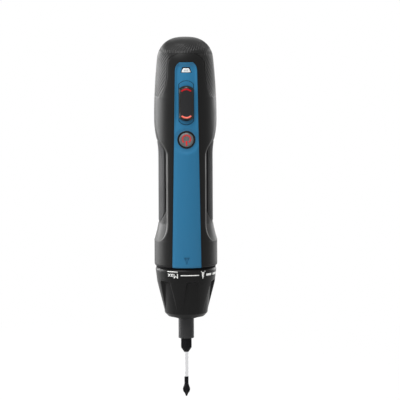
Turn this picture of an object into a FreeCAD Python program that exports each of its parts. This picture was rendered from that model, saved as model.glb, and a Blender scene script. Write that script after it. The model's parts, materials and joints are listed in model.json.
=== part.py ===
"""In-line electric screwdriver as a parametric assembly, in millimetres.

The tool stands upright with the bit pointing down. The origin lies on the tool's axis, in the plane
where the housing's collar meets the torque ring. The blue strip faces the front, towards -Y.
"""
import FreeCAD, Part
import math
import os
from collections import namedtuple

import Sketcher

V = FreeCAD.Vector
doc = FreeCAD.newDocument("ElectricScrewdriver")

# Driving dimensions, by alias
SIZES = {
    # Housing: radii from the tool's axis, and lengths stacked on the joint plane
    "collar_radius": 19.0,
    "collar_height": 15.6,
    "ramp_height": 10.4,
    "waist_radius": 16.5,
    "waist_length": 41.0,
    "bulb_radius": 18.9,
    "bulb_rise": 22.0,
    "flank_length": 35.8,
    "flank_lean": 1.9,
    "dome_flat": 3.5,
    "collar_wall": 2.6,
    "waist_wall": 2.0,
    "grip_wall": 2.6,
    "chamber_drop": 3.0,
    "spine_half": 11.8,
    "spine_corner": 9.5,
    "spine_corner_rise": 9.2,
    "spine_rise": 3.0,
    "spine_shoulder_rise": 12.0,
    "spine_reach": 17.5,
    # Rubber grip on the waist
    "rubber": 1.3,
    "grip_drop": 0.2,
    "grip_front_rise": 8.5,
    "grip_rise": 10.0,
    # Dome cap and the arch in its front
    "skirt_drop": 22.6,
    "skirt_reach": 15.9,
    "arch_half": 11.5,
    "flare_height": 15.8,
    "arch_rise": 5.3,
    "arch_corner": 8.0,
    # Front strip, from the dome downwards
    "strip_rise": 1.4,
    "strip_low_half": 8.87,
    "strip_high_half": 6.8,
    "strip_shoulder_drop": 5.5,
    "strip_tip_half": 4.0,
    "strip_corner": 7.0,
    "strip_sink": 0.05,
    "strip_thickness": 1.3,
    # Direction knob in its track
    "track_half": 4.65,
    "track_end": 5.0,
    "track_length": 27.3,
    "track_depth": 0.9,
    "knob_half": 4.4,
    "knob_length": 20.8,
    "knob_end": 6.3,
    "knob_proud": 1.7,
    "knob_lift": 0.4,
    "stem_half": 2.0,
    "stem_length": 10.0,
    "stem_gap": 0.1,
    "knob_travel": 2.0,
    "slot_room": 0.4,
    # Power button
    "button_below_track": 9.4,
    "button_radius": 4.5,
    "button_rim": 5.3,
    "button_proud": 0.2,
    "button_thickness": 2.7,
    "button_dish": 0.35,
    "button_stem": 1.6,
    "button_room": 0.15,
    "button_travel": 0.8,
    "button_clear": 0.1,
    # Charge window
    "window_above_track": 4.6,
    "window_length": 3.2,
    "window_low_half": 2.8,
    "window_high_half": 1.9,
    "window_depth": 3.5,
    "window_margin": 3.6,
    # Housing screws
    "screw_low_offset": 9.6,
    "screw_high_offset": 13.3,
    "screw_high_drop": 5.0,
    "screw_radius": 1.25,
    "screw_length": 12.0,
    "screw_head_radius": 2.2,
    "screw_head_height": 1.8,
    "screw_seat": 5.0,
    "screw_hex": 2.4,
    "screw_hex_depth": 1.0,
    "screw_room": 0.25,
    "boss_radius": 2.6,
    "boss_gap": 0.6,
    # Torque ring: heights are depths below the joint plane
    "ring_gap": 1.2,
    "ring_radius": 18.45,
    "ring_edge": 0.45,
    "ring_band": 10.2,
    "ring_band_radius": 17.4,
    "ring_foot": 26.7,
    "ring_foot_radius": 13.2,
    "ring_nose_drop": 1.8,
    "ring_nose_radius": 12.6,
    "ring_end_radius": 10.0,
    "ring_end_bend": 3.4,
    "ring_end_past_tip": 0.6,
    "ring_fit": 0.05,
    "ring_room": 0.5,
    "ring_lip": 1.5,
    "ring_lip_gap": 0.1,
    "ring_lip_room": 0.4,
    "ring_phase": 10.0,
    "pocket_count": 6,
    "pocket_high": 8.5,
    "pocket_high_half": 3.6,
    "pocket_low_half": 4.9,
    "pocket_floor": 13.5,
    "dimple_count": 12,
    "dimple_radius": 0.7,
    "dimple_depth": 0.4,
    "sense_magnet_radius": 1.0,
    "sense_magnet_depth": 2.0,
    "sense_magnet_inset": 2.05,
    # Gear case and nose
    "gear_case_wall": 1.25,
    "flange_grip": 0.7,
    "flange_low": 4.0,
    "flange_height": 2.0,
    "flange_fit": 0.1,
    "case_foot": 3.0,
    "nose_slope": 3.0,
    "nose_wall": 2.4,
    "tip_wall": 1.2,
    "tip_below_clip": 1.5,
    "clip_groove": 0.5,
    "clip_height": 0.8,
    "clip_reach": 1.8,
    "clip_opening": 3.0,
    "bush_wall": 0.87,
    "bush_length": 6.0,
    "bush_inset": 0.2,
    "running_fit": 0.03,
    "nose_cap_room": 0.2,
    "nose_cap_height": 1.0,
    "nose_lip_radius": 6.7,
    "nose_lip_height": 0.7,
    "nose_cap_bore": 0.3,
    "plunger_radius": 1.1,
    "plunger_gap": 0.15,
    "sensor_length": 6.0,
    "sensor_height": 2.5,
    "sensor_gap": 0.2,
    "sensor_room": 0.4,
    # Spindle with its push springs
    "spindle_radius": 4.7,
    "spindle_end": 44.7,
    "spindle_chamfer": 0.5,
    "spindle_flange_inset": 0.6,
    "spindle_flange_height": 1.95,
    "seat_gap": 0.05,
    "journal_step": 0.1,
    "journal_over_clip": 0.4,
    "tail_across": 6.0,
    "tail_room": 0.1,
    "tail_margin": 1.8,
    "socket_depth": 20.7,
    "bit_magnet_radius": 2.9,
    "bit_magnet_height": 2.0,
    "thrust_height": 3.0,
    "thrust_gap": 0.15,
    "key_half": 1.0,
    "key_reach": 1.05,
    "key_room": 0.1,
    "spindle_clip_height": 0.6,
    "spindle_clip_depth": 0.5,
    "spindle_clip_inset": 0.1,
    "disc_count": 4,
    "disc_pitch": 1.0625,
    "disc_gap": 0.03,
    "disc_width": 2.4,
    "disc_thickness": 0.4,
    "disc_room": 0.2,
    "spring_seat_height": 1.0,
    "spring_seat_room": 1.2,
    "push_travel": 1.2,
    "push_clear": 0.2,
    # Bit
    "bit_across": 6.35,
    "bit_room": 0.05,
    "bit_corner_cut": 0.1,
    "bit_top_gap": 0.1,
    "bit_edge": 0.6,
    "bit_shank_proud": 5.6,
    "bit_cone": 3.1,
    "bit_shaft_radius": 1.25,
    "bit_shaft_length": 19.3,
    "bit_neck": 2.5,
    "bit_head_radius": 2.1,
    "bit_head": 1.2,
    "bit_point": 3.9,
    "bit_tip_radius": 0.4,
    "flute_radius": 1.5,
    "flute_offset": 2.3,
    "flute_run": 5.4,
    # Two stage planetary gear
    "gear_module": 0.5,
    "sun_teeth": 12,
    "planet_teeth": 15,
    "pressure_angle": 20.0,
    "tooth_addendum": 0.45,
    "ring_addendum": 0.33,
    "tooth_dedendum": 0.625,
    "flank_gap": 0.035,
    "ring_gear_rim": 1.6,
    "pin_radius": 1.0,
    "carrier_rim": 1.65,
    "carrier_room": 0.5,
    "output_disc_top": 0.2,
    "output_disc_height": 2.6,
    "output_boss_wall": 1.7,
    "washer_height": 1.4,
    "washer_gap": 0.1,
    "washer_room": 0.3,
    "stage_gap": 0.3,
    "planet_width": 5.2,
    "input_disc_height": 2.2,
    # Motor
    "plate_height": 1.5,
    "plate_hole": 3.2,
    "plate_screw_offset": 8.0,
    "plate_screw_radius": 1.0,
    "plate_screw_length": 3.0,
    "plate_screw_head": 1.9,
    "plate_screw_head_height": 0.8,
    "can_room": 1.0,
    "can_length": 30.0,
    "can_wall": 0.8,
    "can_front": 1.0,
    "motor_bush_radius": 3.0,
    "motor_bush_length": 3.0,
    "air_gap": 0.5,
    "magnet_thickness": 2.9,
    "magnet_rise": 3.0,
    "magnet_length": 21.5,
    "magnet_split": 6.0,
    "shaft_radius": 1.0,
    "shaft_over": 0.5,
    "core_rise": 5.5,
    "core_length": 16.0,
    "core_slots": 5,
    "core_hub": 3.2,
    "core_rim": 1.3,
    "slot_half": 1.3,
    "slot_mouth": 0.5,
    "winding_over": 1.9,
    "winding_bury": 1.2,
    "commutator_radius": 2.8,
    "commutator_gap": 0.5,
    "commutator_length": 4.6,
    "bell_height": 2.0,
    "bell_boss_radius": 4.5,
    "bell_boss_height": 2.5,
    "bell_hole": 1.6,
    "brush_length": 4.3,
    "brush_half": 1.2,
    "brush_rise": 1.3,
    "brush_height": 2.6,
    "brush_gap": 0.05,
    "holder_gap": 0.4,
    "holder_wall": 1.0,
    "terminal_offset": 4.0,
    "terminal_half": 1.4,
    "terminal_thickness": 0.5,
    "terminal_height": 4.0,
    "lead_radius": 0.8,
    "lead_room": 0.2,
    # Battery, boards and switches
    "battery_radius": 9.1,
    "battery_edge": 0.7,
    "battery_clear": 0.1,
    "tab_thickness": 0.4,
    "tab_half": 3.0,
    "cradle_disc": 2.0,
    "cradle_top_disc": 1.4,
    "cradle_wall": 1.2,
    "cradle_room": 0.1,
    "cradle_inset": 0.3,
    "board_gap": 0.8,
    "board_thickness": 1.2,
    "board_room": 1.0,
    "switch_half": 3.5,
    "switch_length": 14.0,
    "switch_depth": 3.4,
    "tact_half": 3.0,
    "tact_depth": 2.4,
    "tact_plunger": 1.4,
    "tact_rise": 0.8,
    "led_half": 1.2,
    "led_length": 2.0,
    "led_depth": 1.0,
    "charge_board_half": 5.5,
    "charge_board_depth": 12.0,
    "port_half": 4.45,
    "port_height": 3.2,
    "port_length": 7.6,
    "port_recess": 1.5,
    "port_wall": 0.3,
    "port_cavity": 6.2,
    "port_tongue_half": 3.3,
    "port_tongue": 0.7,
    "port_room": 0.3,
}

sheet = doc.addObject("Spreadsheet::Sheet", "Sizes")
for row, (alias, value) in enumerate(SIZES.items(), start=1):
    sheet.set(f"A{row}", alias)
    sheet.set(f"B{row}", str(value))
    sheet.setAlias(f"B{row}", alias)
doc.recompute()


class Size:
    """A length that knows its value and the cell formula that it comes from."""

    def __init__(self, value, text):
        self.value = value
        self.text = text

    def __add__(self, other):
        other = as_size(other)
        return Size(self.value + other.value, f"({self.text} + {other.text})")

    def __radd__(self, other):
        return as_size(other) + self

    def __sub__(self, other):
        other = as_size(other)
        return Size(self.value - other.value, f"({self.text} - {other.text})")

    def __rsub__(self, other):
        return as_size(other) - self

    def __mul__(self, other):
        other = as_size(other)
        return Size(self.value * other.value, f"({self.text} * {other.text})")

    __rmul__ = __mul__

    def __truediv__(self, other):
        other = as_size(other)
        return Size(self.value / other.value, f"({self.text} / {other.text})")

    def __neg__(self):
        return Size(-self.value, f"(0 - {self.text})")


def as_size(value):
    return value if isinstance(value, Size) else Size(float(value), repr(float(value)))


def root(size):
    return Size(math.sqrt(size.value), f"sqrt({size.text})")


class Cells:
    """Every driving dimension as a Size, by its alias."""

    def __getattr__(self, alias):
        return Size(float(sheet.get(alias)), f"Sizes.{alias}")


cell = Cells()
Round = namedtuple("Round", "x y radius")


def bind(thing, name, size):
    """Ties a property to its cells."""
    thing.setExpression(name, as_size(size).text)


def fix(sketch, kind, *where):
    """A sketch constraint whose value, the last item, follows its cells."""
    size = as_size(where[-1])
    number = sketch.addConstraint(Sketcher.Constraint(kind, *where[:-1], size.value))
    bind(sketch, f"Constraints[{number}]", size)


def fix_point(sketch, element, point, x, y):
    fix(sketch, "DistanceX", -1, 1, element, point, x)
    fix(sketch, "DistanceY", -1, 1, element, point, y)


def arc_between(start, end, radius):
    """The short arc from start to end, turning left for a positive radius and right for a negative one."""
    turn = math.copysign(1.0, radius)
    chord = end - start
    side = V(-chord.y, chord.x, 0).normalize() * turn
    centre = (start + end) / 2 + side * math.sqrt(max(radius ** 2 - (chord.Length / 2) ** 2, 0.0))
    first, last = (start, end) if turn > 0 else (end, start)
    angles = [math.atan2(point.y - centre.y, point.x - centre.x) for point in (first, last)]
    return Part.ArcOfCircle(Part.Circle(centre, V(0, 0, 1), abs(radius)), *angles)


def draw_outline(sketch, points):
    """A closed outline through points (x, y); a third value bends the stretch that ends there to an arc."""
    places = [V(as_size(point[0]).value, as_size(point[1]).value, 0) for point in points]
    first = sketch.GeometryCount
    ends = []
    for index, point in enumerate(points):
        start, end = places[index - 1], places[index]
        if len(point) == 2:
            sketch.addGeometry(Part.LineSegment(start, end))
            ends.append((1, 2))
            continue
        radius = as_size(point[2])
        number = sketch.addGeometry(arc_between(start, end, radius.value))
        fix(sketch, "Radius", number, radius if radius.value > 0 else -radius)
        ends.append((1, 2) if radius.value > 0 else (2, 1))
    for index, point in enumerate(points):
        after = (index + 1) % len(points)
        joint = (first + index, ends[index][1], first + after, ends[after][0])
        sketch.addConstraint(Sketcher.Constraint("Coincident", *joint))
        fix_point(sketch, first + index, ends[index][1], point[0], point[1])


def draw_round(sketch, circle):
    centre = V(as_size(circle.x).value, as_size(circle.y).value, 0)
    number = sketch.addGeometry(Part.Circle(centre, V(0, 0, 1), as_size(circle.radius).value))
    fix_point(sketch, number, 3, circle.x, circle.y)
    fix(sketch, "Radius", number, circle.radius)


def origin_of(body, role):
    return next(feature for feature in body.Origin.OriginFeatures if feature.Role == role)


def sketch_on(body, plane, offset, outlines):
    """A sketch on one of the body's origin planes, moved along the plane's normal."""
    sketch = body.newObject("Sketcher::SketchObject", f"{body.Name}_sketch")
    sketch.AttachmentSupport = (origin_of(body, plane), [""])
    sketch.MapMode = "FlatFace"
    bind(sketch, "AttachmentOffset.Base.z", offset)
    for outline in outlines:
        if isinstance(outline, Round):
            draw_round(sketch, outline)
        else:
            draw_outline(sketch, outline)
    return sketch


def new_body(label):
    return doc.addObject("PartDesign::Body", label)


def turn(body, points, kind="Revolution"):
    """Turns a profile of (radius, height) points about the tool's axis."""
    sketch = sketch_on(body, "XZ_Plane", 0, [points])
    feature = body.newObject(f"PartDesign::{kind}", f"{body.Name}_turn")
    feature.Profile = sketch
    feature.ReferenceAxis = (sketch, ["V_Axis"])
    feature.Angle = 360.0
    return feature


def extrude(body, kind, plane, start, length, *outlines):
    """A Pad along the plane's normal, or a Pocket against it, from start over length."""
    sketch = sketch_on(body, plane, start, outlines)
    feature = body.newObject(f"PartDesign::{kind}", f"{body.Name}_{kind.lower()}")
    feature.Profile = sketch
    bind(feature, "Length", length)
    return feature


def repeat_round(body, feature, count):
    """Copies a feature evenly round the tool's axis."""
    doc.recompute()
    pattern = body.newObject("PartDesign::PolarPattern", f"{feature.Name}_round")
    pattern.Originals = [feature]
    pattern.Axis = (origin_of(body, "Z_Axis"), [""])
    pattern.Angle = 360.0
    bind(pattern, "Occurrences", count)
    body.Tip = pattern
    return pattern


def turned(label, *points):
    body = new_body(label)
    turn(body, points)
    return body


def tube(label, inner, outer, low, high):
    return turned(label, (inner, low), (outer, low), (outer, high), (inner, high))


def front_prism(label, points, near, far):
    """A prism drawn as seen from the front, from near to far ahead of the tool's axis."""
    body = new_body(label)
    extrude(body, "Pad", "XZ_Plane", near, far - near, points)
    return body


def block(label, x, y, z):
    """A box between (low, high) pairs."""
    box = doc.addObject("Part::Box", label)
    for side, axis, (low, high) in zip(("Length", "Width", "Height"), "xyz", (x, y, z)):
        bind(box, side, high - low)
        bind(box, f"Placement.Base.{axis}", low)
    return box


def rod(label, radius, start, length, rotation=FreeCAD.Rotation()):
    """A cylinder from start, along +Z unless it is turned."""
    cylinder = doc.addObject("Part::Cylinder", label)
    cylinder.Placement.Rotation = rotation
    bind(cylinder, "Radius", radius)
    bind(cylinder, "Height", length)
    for axis, place in zip("xyz", start):
        bind(cylinder, f"Placement.Base.{axis}", place)
    return cylinder


def boolean(kind, label):
    """A boolean whose faces stay as they were cut: merging them again fails on some of these solids."""
    made = doc.addObject(f"Part::{kind}", label)
    made.Refine = False
    return made


def fuse(label, *pieces):
    made = boolean("MultiFuse", label)
    made.Shapes = list(pieces)
    return made


def common(label, base, tool):
    made = boolean("Common", label)
    made.Base = base
    made.Tool = tool
    return made


def cut(label, base, *tools):
    made = boolean("Cut", label)
    made.Base = base
    made.Tool = tools[0] if len(tools) == 1 else fuse(f"{label}_cuts", *tools)
    return made


def group(label, *pieces):
    """Separate solids of one kind that share a node."""
    made = doc.addObject("Part::Compound", label)
    made.Links = list(pieces)
    return made


def hexagon(across):
    """The corner points of a hexagon round the tool's axis."""
    half = across / 2
    corner = across / root(as_size(3))
    return [(corner, 0), (corner / 2, half), (-corner / 2, half),
            (-corner, 0), (-corner / 2, -half), (corner / 2, -half)]


def mirrored(points):
    """An outline from its right half, listed upwards: arcs keep their bend on both sides."""
    left = []
    for index in range(len(points) - 1, -1, -1):
        bend = points[index + 1][2:] if index + 1 < len(points) else ()
        left.append((-as_size(points[index][0]), points[index][1], *bend))
    return [*points, *left]


TO_BACK = FreeCAD.Rotation(V(1, 0, 0), -90)
AXIS = 0


# Heights and radii that follow from the driving dimensions
waist_inner = cell.waist_radius - cell.rubber - cell.waist_wall
collar_inner = cell.collar_radius - cell.collar_wall
outside = cell.collar_radius * 2
ramp_top = cell.collar_height + cell.ramp_height
waist_top = ramp_top + cell.waist_length
spine_top = waist_top + cell.spine_rise
bulb_height = waist_top + cell.bulb_rise
dome_centre = bulb_height + cell.flank_length
dome_corner = cell.bulb_radius - cell.dome_flat - cell.flank_lean
top_height = dome_centre + dome_corner
skirt_height = dome_centre - cell.skirt_drop
arch_bend = skirt_height + cell.flare_height
strip_top = dome_centre + cell.strip_rise
arch_top = strip_top + cell.arch_rise
window_top = strip_top - cell.window_margin
window_low = window_top - cell.window_length
track_top = window_low - cell.window_above_track
track_low = track_top - cell.track_length
knob_middle = track_low + cell.track_length / 2
button_height = track_low - cell.button_below_track

sun_pitch = cell.gear_module * cell.sun_teeth / 2
planet_pitch = cell.gear_module * cell.planet_teeth / 2
planet_orbit = sun_pitch + planet_pitch
ring_pitch = sun_pitch + planet_pitch * 2
ring_gear_radius = ring_pitch + cell.tooth_dedendum + cell.ring_gear_rim
case_radius = ring_gear_radius + cell.gear_case_wall
carrier_radius = planet_orbit + cell.pin_radius + cell.carrier_rim

output_disc_low = cell.output_disc_top - cell.output_disc_height
output_planet_low = cell.output_disc_top + cell.stage_gap
output_planet_top = output_planet_low + cell.planet_width
input_disc_low = output_planet_top + cell.stage_gap
input_disc_top = input_disc_low + cell.input_disc_height
input_planet_low = input_disc_top + cell.stage_gap
input_planet_top = input_planet_low + cell.planet_width
plate_low = input_planet_top + cell.stage_gap + cell.plate_screw_head_height

can_low = plate_low + cell.plate_height
can_top = can_low + cell.can_length
can_radius = waist_inner - cell.can_room
can_inner = can_radius - cell.can_wall
magnet_inner = can_inner - cell.magnet_thickness
core_radius = magnet_inner - cell.air_gap
core_low = can_low + cell.core_rise
core_top = core_low + cell.core_length
commutator_low = core_top + cell.winding_over + cell.commutator_gap
brush_low = commutator_low + cell.brush_rise
bell_top = can_top + cell.bell_height
bell_boss_top = bell_top + cell.bell_boss_height
terminal_top = bell_top + cell.terminal_height

screw_low_height = bell_boss_top + cell.boss_gap + cell.boss_radius
screw_high_height = bulb_height - cell.screw_high_drop
cradle_low = screw_low_height + cell.boss_radius + cell.boss_gap
cradle_floor = cradle_low + cell.cradle_disc
battery_low = cradle_floor + cell.tab_thickness
battery_top = dome_centre - cell.battery_clear
cradle_roof = battery_top + cell.tab_thickness
cradle_top = cradle_roof + cell.cradle_top_disc
cradle_tube = cell.battery_radius + cell.cradle_room
battery_back = waist_inner - cell.cradle_inset - cell.cradle_wall - cradle_tube
board_back = cell.battery_radius - battery_back + cell.board_gap
board_front = board_back + cell.board_thickness
board_middle = board_back + cell.board_thickness / 2
board_half = root(waist_inner * waist_inner - board_front * board_front) - cell.board_room
charge_board_top = cradle_top + cell.board_thickness
port_middle = charge_board_top + cell.port_height / 2

tip_start = cell.ring_lip_gap - cell.ring_foot
lip_low = -cell.ring_foot - cell.ring_lip
clip_top = lip_low - cell.ring_lip_gap
clip_low = clip_top - cell.clip_height
tip_end = clip_low - cell.tip_below_clip
nose_cap_low = tip_end - cell.nose_cap_height
ring_end = tip_end - cell.ring_end_past_tip
spindle_bore = cell.spindle_radius + cell.running_fit
bush_radius = spindle_bore + cell.bush_wall
tip_radius = bush_radius + cell.tip_wall
nose_top = -cell.case_foot - cell.nose_slope

washer_top = output_disc_low - cell.washer_gap
washer_low = washer_top - cell.washer_height
spring_seat_top = washer_low - cell.washer_gap
spring_seat_low = spring_seat_top - cell.spring_seat_height
thrust_top = spring_seat_low - cell.disc_count * cell.disc_pitch
thrust_low = thrust_top - cell.thrust_height
spindle_flange_top = thrust_low - cell.seat_gap
spindle_flange_low = spindle_flange_top - cell.spindle_flange_height
nose_shoulder = spindle_flange_low - cell.seat_gap
spindle_clip_low = thrust_top + cell.seat_gap
spindle_clip_top = spindle_clip_low + cell.spindle_clip_height
journal_radius = cell.spindle_radius - cell.journal_step
journal_top = spindle_clip_top + cell.journal_over_clip
output_boss_low = journal_top + cell.push_travel + cell.push_clear
output_boss_radius = cell.tail_across / root(as_size(3)) + cell.output_boss_wall
tail_top = cell.output_disc_top - cell.push_travel - cell.tail_margin
disc_inner = output_boss_radius + cell.disc_room
disc_outer = disc_inner + cell.disc_width
spring_bore = disc_outer + cell.disc_room
nose_radius = spring_bore + cell.nose_wall
flange_radius = collar_inner + cell.flange_grip
plunger_offset = case_radius + cell.plunger_radius + cell.plunger_gap

socket_top = cell.socket_depth - cell.spindle_end
socket_across = cell.bit_across + cell.bit_room * 2
bit_top = socket_top - cell.bit_top_gap
bit_shank_low = -cell.spindle_end - cell.bit_shank_proud
bit_cone_low = bit_shank_low - cell.bit_cone
bit_shaft_low = bit_cone_low - cell.bit_shaft_length
bit_head_top = bit_shaft_low - cell.bit_neck
bit_head_low = bit_head_top - cell.bit_head
bit_tip = bit_head_low - cell.bit_point


# Housing
def upper_skin(depth):
    """The upper profile of the body, sunk by depth: a long flank arc, the dome's corner and its flat."""
    reach = cell.bulb_radius - cell.dome_flat
    rise = dome_centre - bulb_height
    spread = reach * reach + rise * rise - dome_corner * dome_corner
    flank = spread / (cell.flank_lean * 2)
    corner = dome_corner - depth
    lean = corner / (flank - dome_corner)
    shoulder = (cell.dome_flat + lean * (flank - reach), dome_centre + lean * rise, flank - depth)
    return [(cell.bulb_radius - depth, bulb_height), shoulder,
            (cell.dome_flat, top_height - depth, corner), (AXIS, top_height - depth)]


def waist_skin(depth):
    """The waist's profile, sunk by depth, with the S bend that leads to the bulb of the grip."""
    step = cell.bulb_radius - cell.waist_radius
    climb = bulb_height - waist_top
    bend = (step * step + climb * climb) / (step * 4)
    return [(cell.waist_radius - depth, ramp_top), (cell.waist_radius - depth, waist_top),
            (cell.waist_radius + step / 2 - depth, waist_top + climb / 2, -bend),
            (cell.bulb_radius - depth, bulb_height, bend)]


def barrel(label, depth):
    """The round body with no waist, sunk by depth: the surface that the front strip follows."""
    return turned(label, (AXIS, 0), (cell.collar_radius - depth, 0),
                  (cell.collar_radius - depth, cell.collar_height), *upper_skin(depth))


def make_body_solid():
    """The whole outside of the body: a waist, and in front of it the full width spine."""
    waist = turned("waist_solid", (AXIS, 0), (cell.collar_radius, 0),
                   (cell.collar_radius, cell.collar_height), *waist_skin(0), *upper_skin(0)[1:])
    spine_outline = mirrored([
        (outside, -cell.ring_gap),
        (outside, cell.collar_height),
        (cell.collar_radius + cell.rubber, cell.collar_height),
        (cell.spine_half, cell.collar_height + cell.spine_corner_rise, -cell.spine_corner),
        (cell.spine_half, spine_top),
        (cell.spine_reach, waist_top + cell.spine_shoulder_rise),
        (cell.spine_reach, bulb_height)])
    spine_barrel = turned(
        "spine_barrel", (AXIS, 0), (cell.collar_radius, 0), (cell.collar_radius, cell.collar_height),
        (cell.bulb_radius, bulb_height), (cell.bulb_radius, top_height), (AXIS, top_height))
    spine = common("spine", spine_barrel,
                   front_prism("spine_outline", spine_outline, -cell.rubber, outside))
    return waist, fuse("body_solid", waist, spine)


def make_cavity():
    """The room inside the shells, with the groove that holds the gear case's flange."""
    groove = flange_radius + cell.flange_fit
    groove_low = cell.flange_low - cell.flange_fit
    groove_top = cell.flange_low + cell.flange_height + cell.flange_fit
    below = -cell.ring_gap
    return turned(
        "cavity", (AXIS, below), (collar_inner, below), (collar_inner, groove_low), (groove, groove_low),
        (groove, groove_top), (collar_inner, groove_top), (collar_inner, can_low), (waist_inner, can_low),
        (waist_inner, spine_top),
        (cell.bulb_radius - cell.grip_wall, bulb_height - cell.chamber_drop),
        *upper_skin(cell.grip_wall))


def make_grip_zone(waist):
    """The layer of rubber on the waist, at both sides of the spine and round the back."""
    core = turned("waist_core", (AXIS, cell.collar_height),
                  (cell.collar_radius - cell.rubber, cell.collar_height),
                  *waist_skin(cell.rubber), (AXIS, bulb_height))
    low = ramp_top - cell.grip_drop
    high = waist_top + cell.grip_rise
    side = [(cell.spine_half, ramp_top + cell.grip_front_rise), (cell.waist_radius, low),
            (outside, low), (outside, high), (cell.spine_reach, high), (cell.spine_half, spine_top)]
    right = front_prism("grip_right", side, 0, outside)
    left = front_prism("grip_left", [(-x, z) for x, z in side], 0, outside)
    back = block("grip_back", (-outside, outside), (as_size(0), outside), (low, high))
    return common("grip_zone", cut("grip_layer", waist, core), fuse("grip_room", right, left, back))


def make_dome_zone():
    """The room of the dome cap: all that lies above its skirt, outside the arch in the front."""
    over = top_height * 2
    lean = cell.skirt_reach - cell.arch_half
    drop = arch_bend - skirt_height
    flare = (lean * lean + drop * drop) / (lean * 2)
    spring = arch_top - cell.arch_corner
    crown = cell.arch_half - cell.arch_corner
    arch = [
        (outside, skirt_height), (outside, over), (-outside, over), (-outside, skirt_height),
        (-cell.skirt_reach, skirt_height), (-cell.arch_half, arch_bend, flare),
        (-cell.arch_half, spring), (-crown, arch_top, -cell.arch_corner), (crown, arch_top),
        (cell.arch_half, spring, -cell.arch_corner), (cell.arch_half, arch_bend),
        (cell.skirt_reach, skirt_height, flare)]
    back = block("dome_back", (-outside, outside), (as_size(0), outside), (skirt_height, over))
    return fuse("dome_zone", front_prism("dome_front", arch, 0, outside), back)


def screw_places():
    for side in (1, -1):
        yield side * cell.screw_low_offset, screw_low_height
        yield side * cell.screw_high_offset, screw_high_height


def rods_at_screws(label, radius, near, far):
    """One rod along the depth at each housing screw."""
    return [rod(f"{label}_{number}", radius, (x, near, z), far - near, TO_BACK)
            for number, (x, z) in enumerate(screw_places(), start=1)]


def stadium(half, low, high, end):
    """An upright outline with straight sides and arcs of radius end at its top and bottom."""
    rise = end - root(end * end - half * half)
    return [(half, low + rise, end), (half, high - rise), (-half, high - rise, end), (-half, low + rise)]


def make_housing():
    waist, body_solid = make_body_solid()
    bosses = common("screw_bosses", body_solid,
                    fuse("boss_rods", *rods_at_screws("boss", cell.boss_radius, -outside, outside)))
    walls = fuse("walls", cut("hollow_body", body_solid, make_cavity()), bosses)
    grip_zone = make_grip_zone(waist)
    dome_zone = make_dome_zone()
    head_holes = fuse("head_holes", *rods_at_screws(
        "head_hole", cell.screw_head_radius + cell.screw_room, cell.screw_seat, outside))
    shank_holes = fuse("shank_holes", *rods_at_screws(
        "shank_hole", cell.screw_radius + cell.screw_room, as_size(0), cell.screw_seat))
    pilot_holes = fuse("pilot_holes", *rods_at_screws(
        "pilot_hole", cell.screw_radius, cell.screw_seat - cell.screw_length, as_size(0)))

    strip_outline = mirrored([
        (cell.strip_low_half, 0), (cell.strip_high_half, strip_top - cell.strip_shoulder_drop),
        (cell.strip_tip_half, strip_top, cell.strip_corner)])
    strip_prism = front_prism("strip_prism", strip_outline, waist_inner, outside)
    strip_bed = barrel("strip_bed", cell.strip_sink + cell.strip_thickness)
    window_outline = mirrored([(cell.window_low_half, window_low), (cell.window_high_half, window_top)])
    window_prism = front_prism("window_prism", window_outline, waist_inner - cell.window_depth, outside)
    slot_half = cell.stem_half + cell.slot_room
    slot_run = cell.stem_length / 2 + cell.knob_travel + cell.slot_room
    slot_outline = mirrored([(slot_half, knob_middle - slot_run), (slot_half, knob_middle + slot_run)])
    slot = front_prism("knob_slot", slot_outline, waist_inner, outside)
    button_hole = front_prism("button_hole", Round(0, button_height, cell.button_radius + cell.button_room),
                              waist_inner, outside)
    button_rim = front_prism("button_rim", Round(0, button_height, cell.button_rim), waist_inner, outside)
    track_outline = stadium(cell.track_half, track_low, track_top, cell.track_end)
    track = cut("track", front_prism("track_prism", track_outline, waist_inner, outside),
                barrel("track_floor", cell.strip_sink + cell.track_depth))

    below, above = -cell.ring_gap, top_height * 2
    front_half = block("front_half", (-outside, outside), (-outside, as_size(0)), (below, above))
    rear_half = block("rear_half", (-outside, outside), (as_size(0), outside), (below, above))
    cut("front_shell", common("front_walls", walls, front_half), dome_zone, grip_zone, pilot_holes,
        cut("strip_pocket", strip_prism, strip_bed), slot, button_hole, window_prism)
    cut("rear_shell", common("rear_walls", walls, rear_half), dome_zone, grip_zone, head_holes, shank_holes)
    cut("dome_cap", common("dome_walls", walls, dome_zone), make_port_hole())
    cut("grip_sleeve", grip_zone, head_holes)
    strip_face = barrel("strip_face", cell.strip_sink)
    strip = cut("strip_solid", common("strip_block", strip_prism, strip_face), strip_bed)
    cut("fascia_strip", strip, track, slot, button_rim, window_prism)
    cut("charge_window", common("window_block", window_prism, strip_face),
        barrel("window_back", cell.strip_sink + cell.window_depth))


def make_housing_screws():
    shanks = rods_at_screws("screw_shank", cell.screw_radius, cell.screw_seat - cell.screw_length,
                            cell.screw_seat)
    heads = rods_at_screws("screw_head", cell.screw_head_radius, cell.screw_seat,
                           cell.screw_seat + cell.screw_head_height)
    screws = []
    for number, (x, z) in enumerate(screw_places(), start=1):
        key = new_body(f"screw_key_{number}")
        face = -cell.screw_seat - cell.screw_head_height
        outline = [(x + corner_x, z + corner_z) for corner_x, corner_z in hexagon(cell.screw_hex)]
        extrude(key, "Pad", "XZ_Plane", face, cell.screw_hex_depth, outline)
        blank = fuse(f"screw_blank_{number}", shanks[number - 1], heads[number - 1])
        screws.append(cut(f"housing_screw_{number}", blank, key))
    group("housing_screws", *screws)


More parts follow.
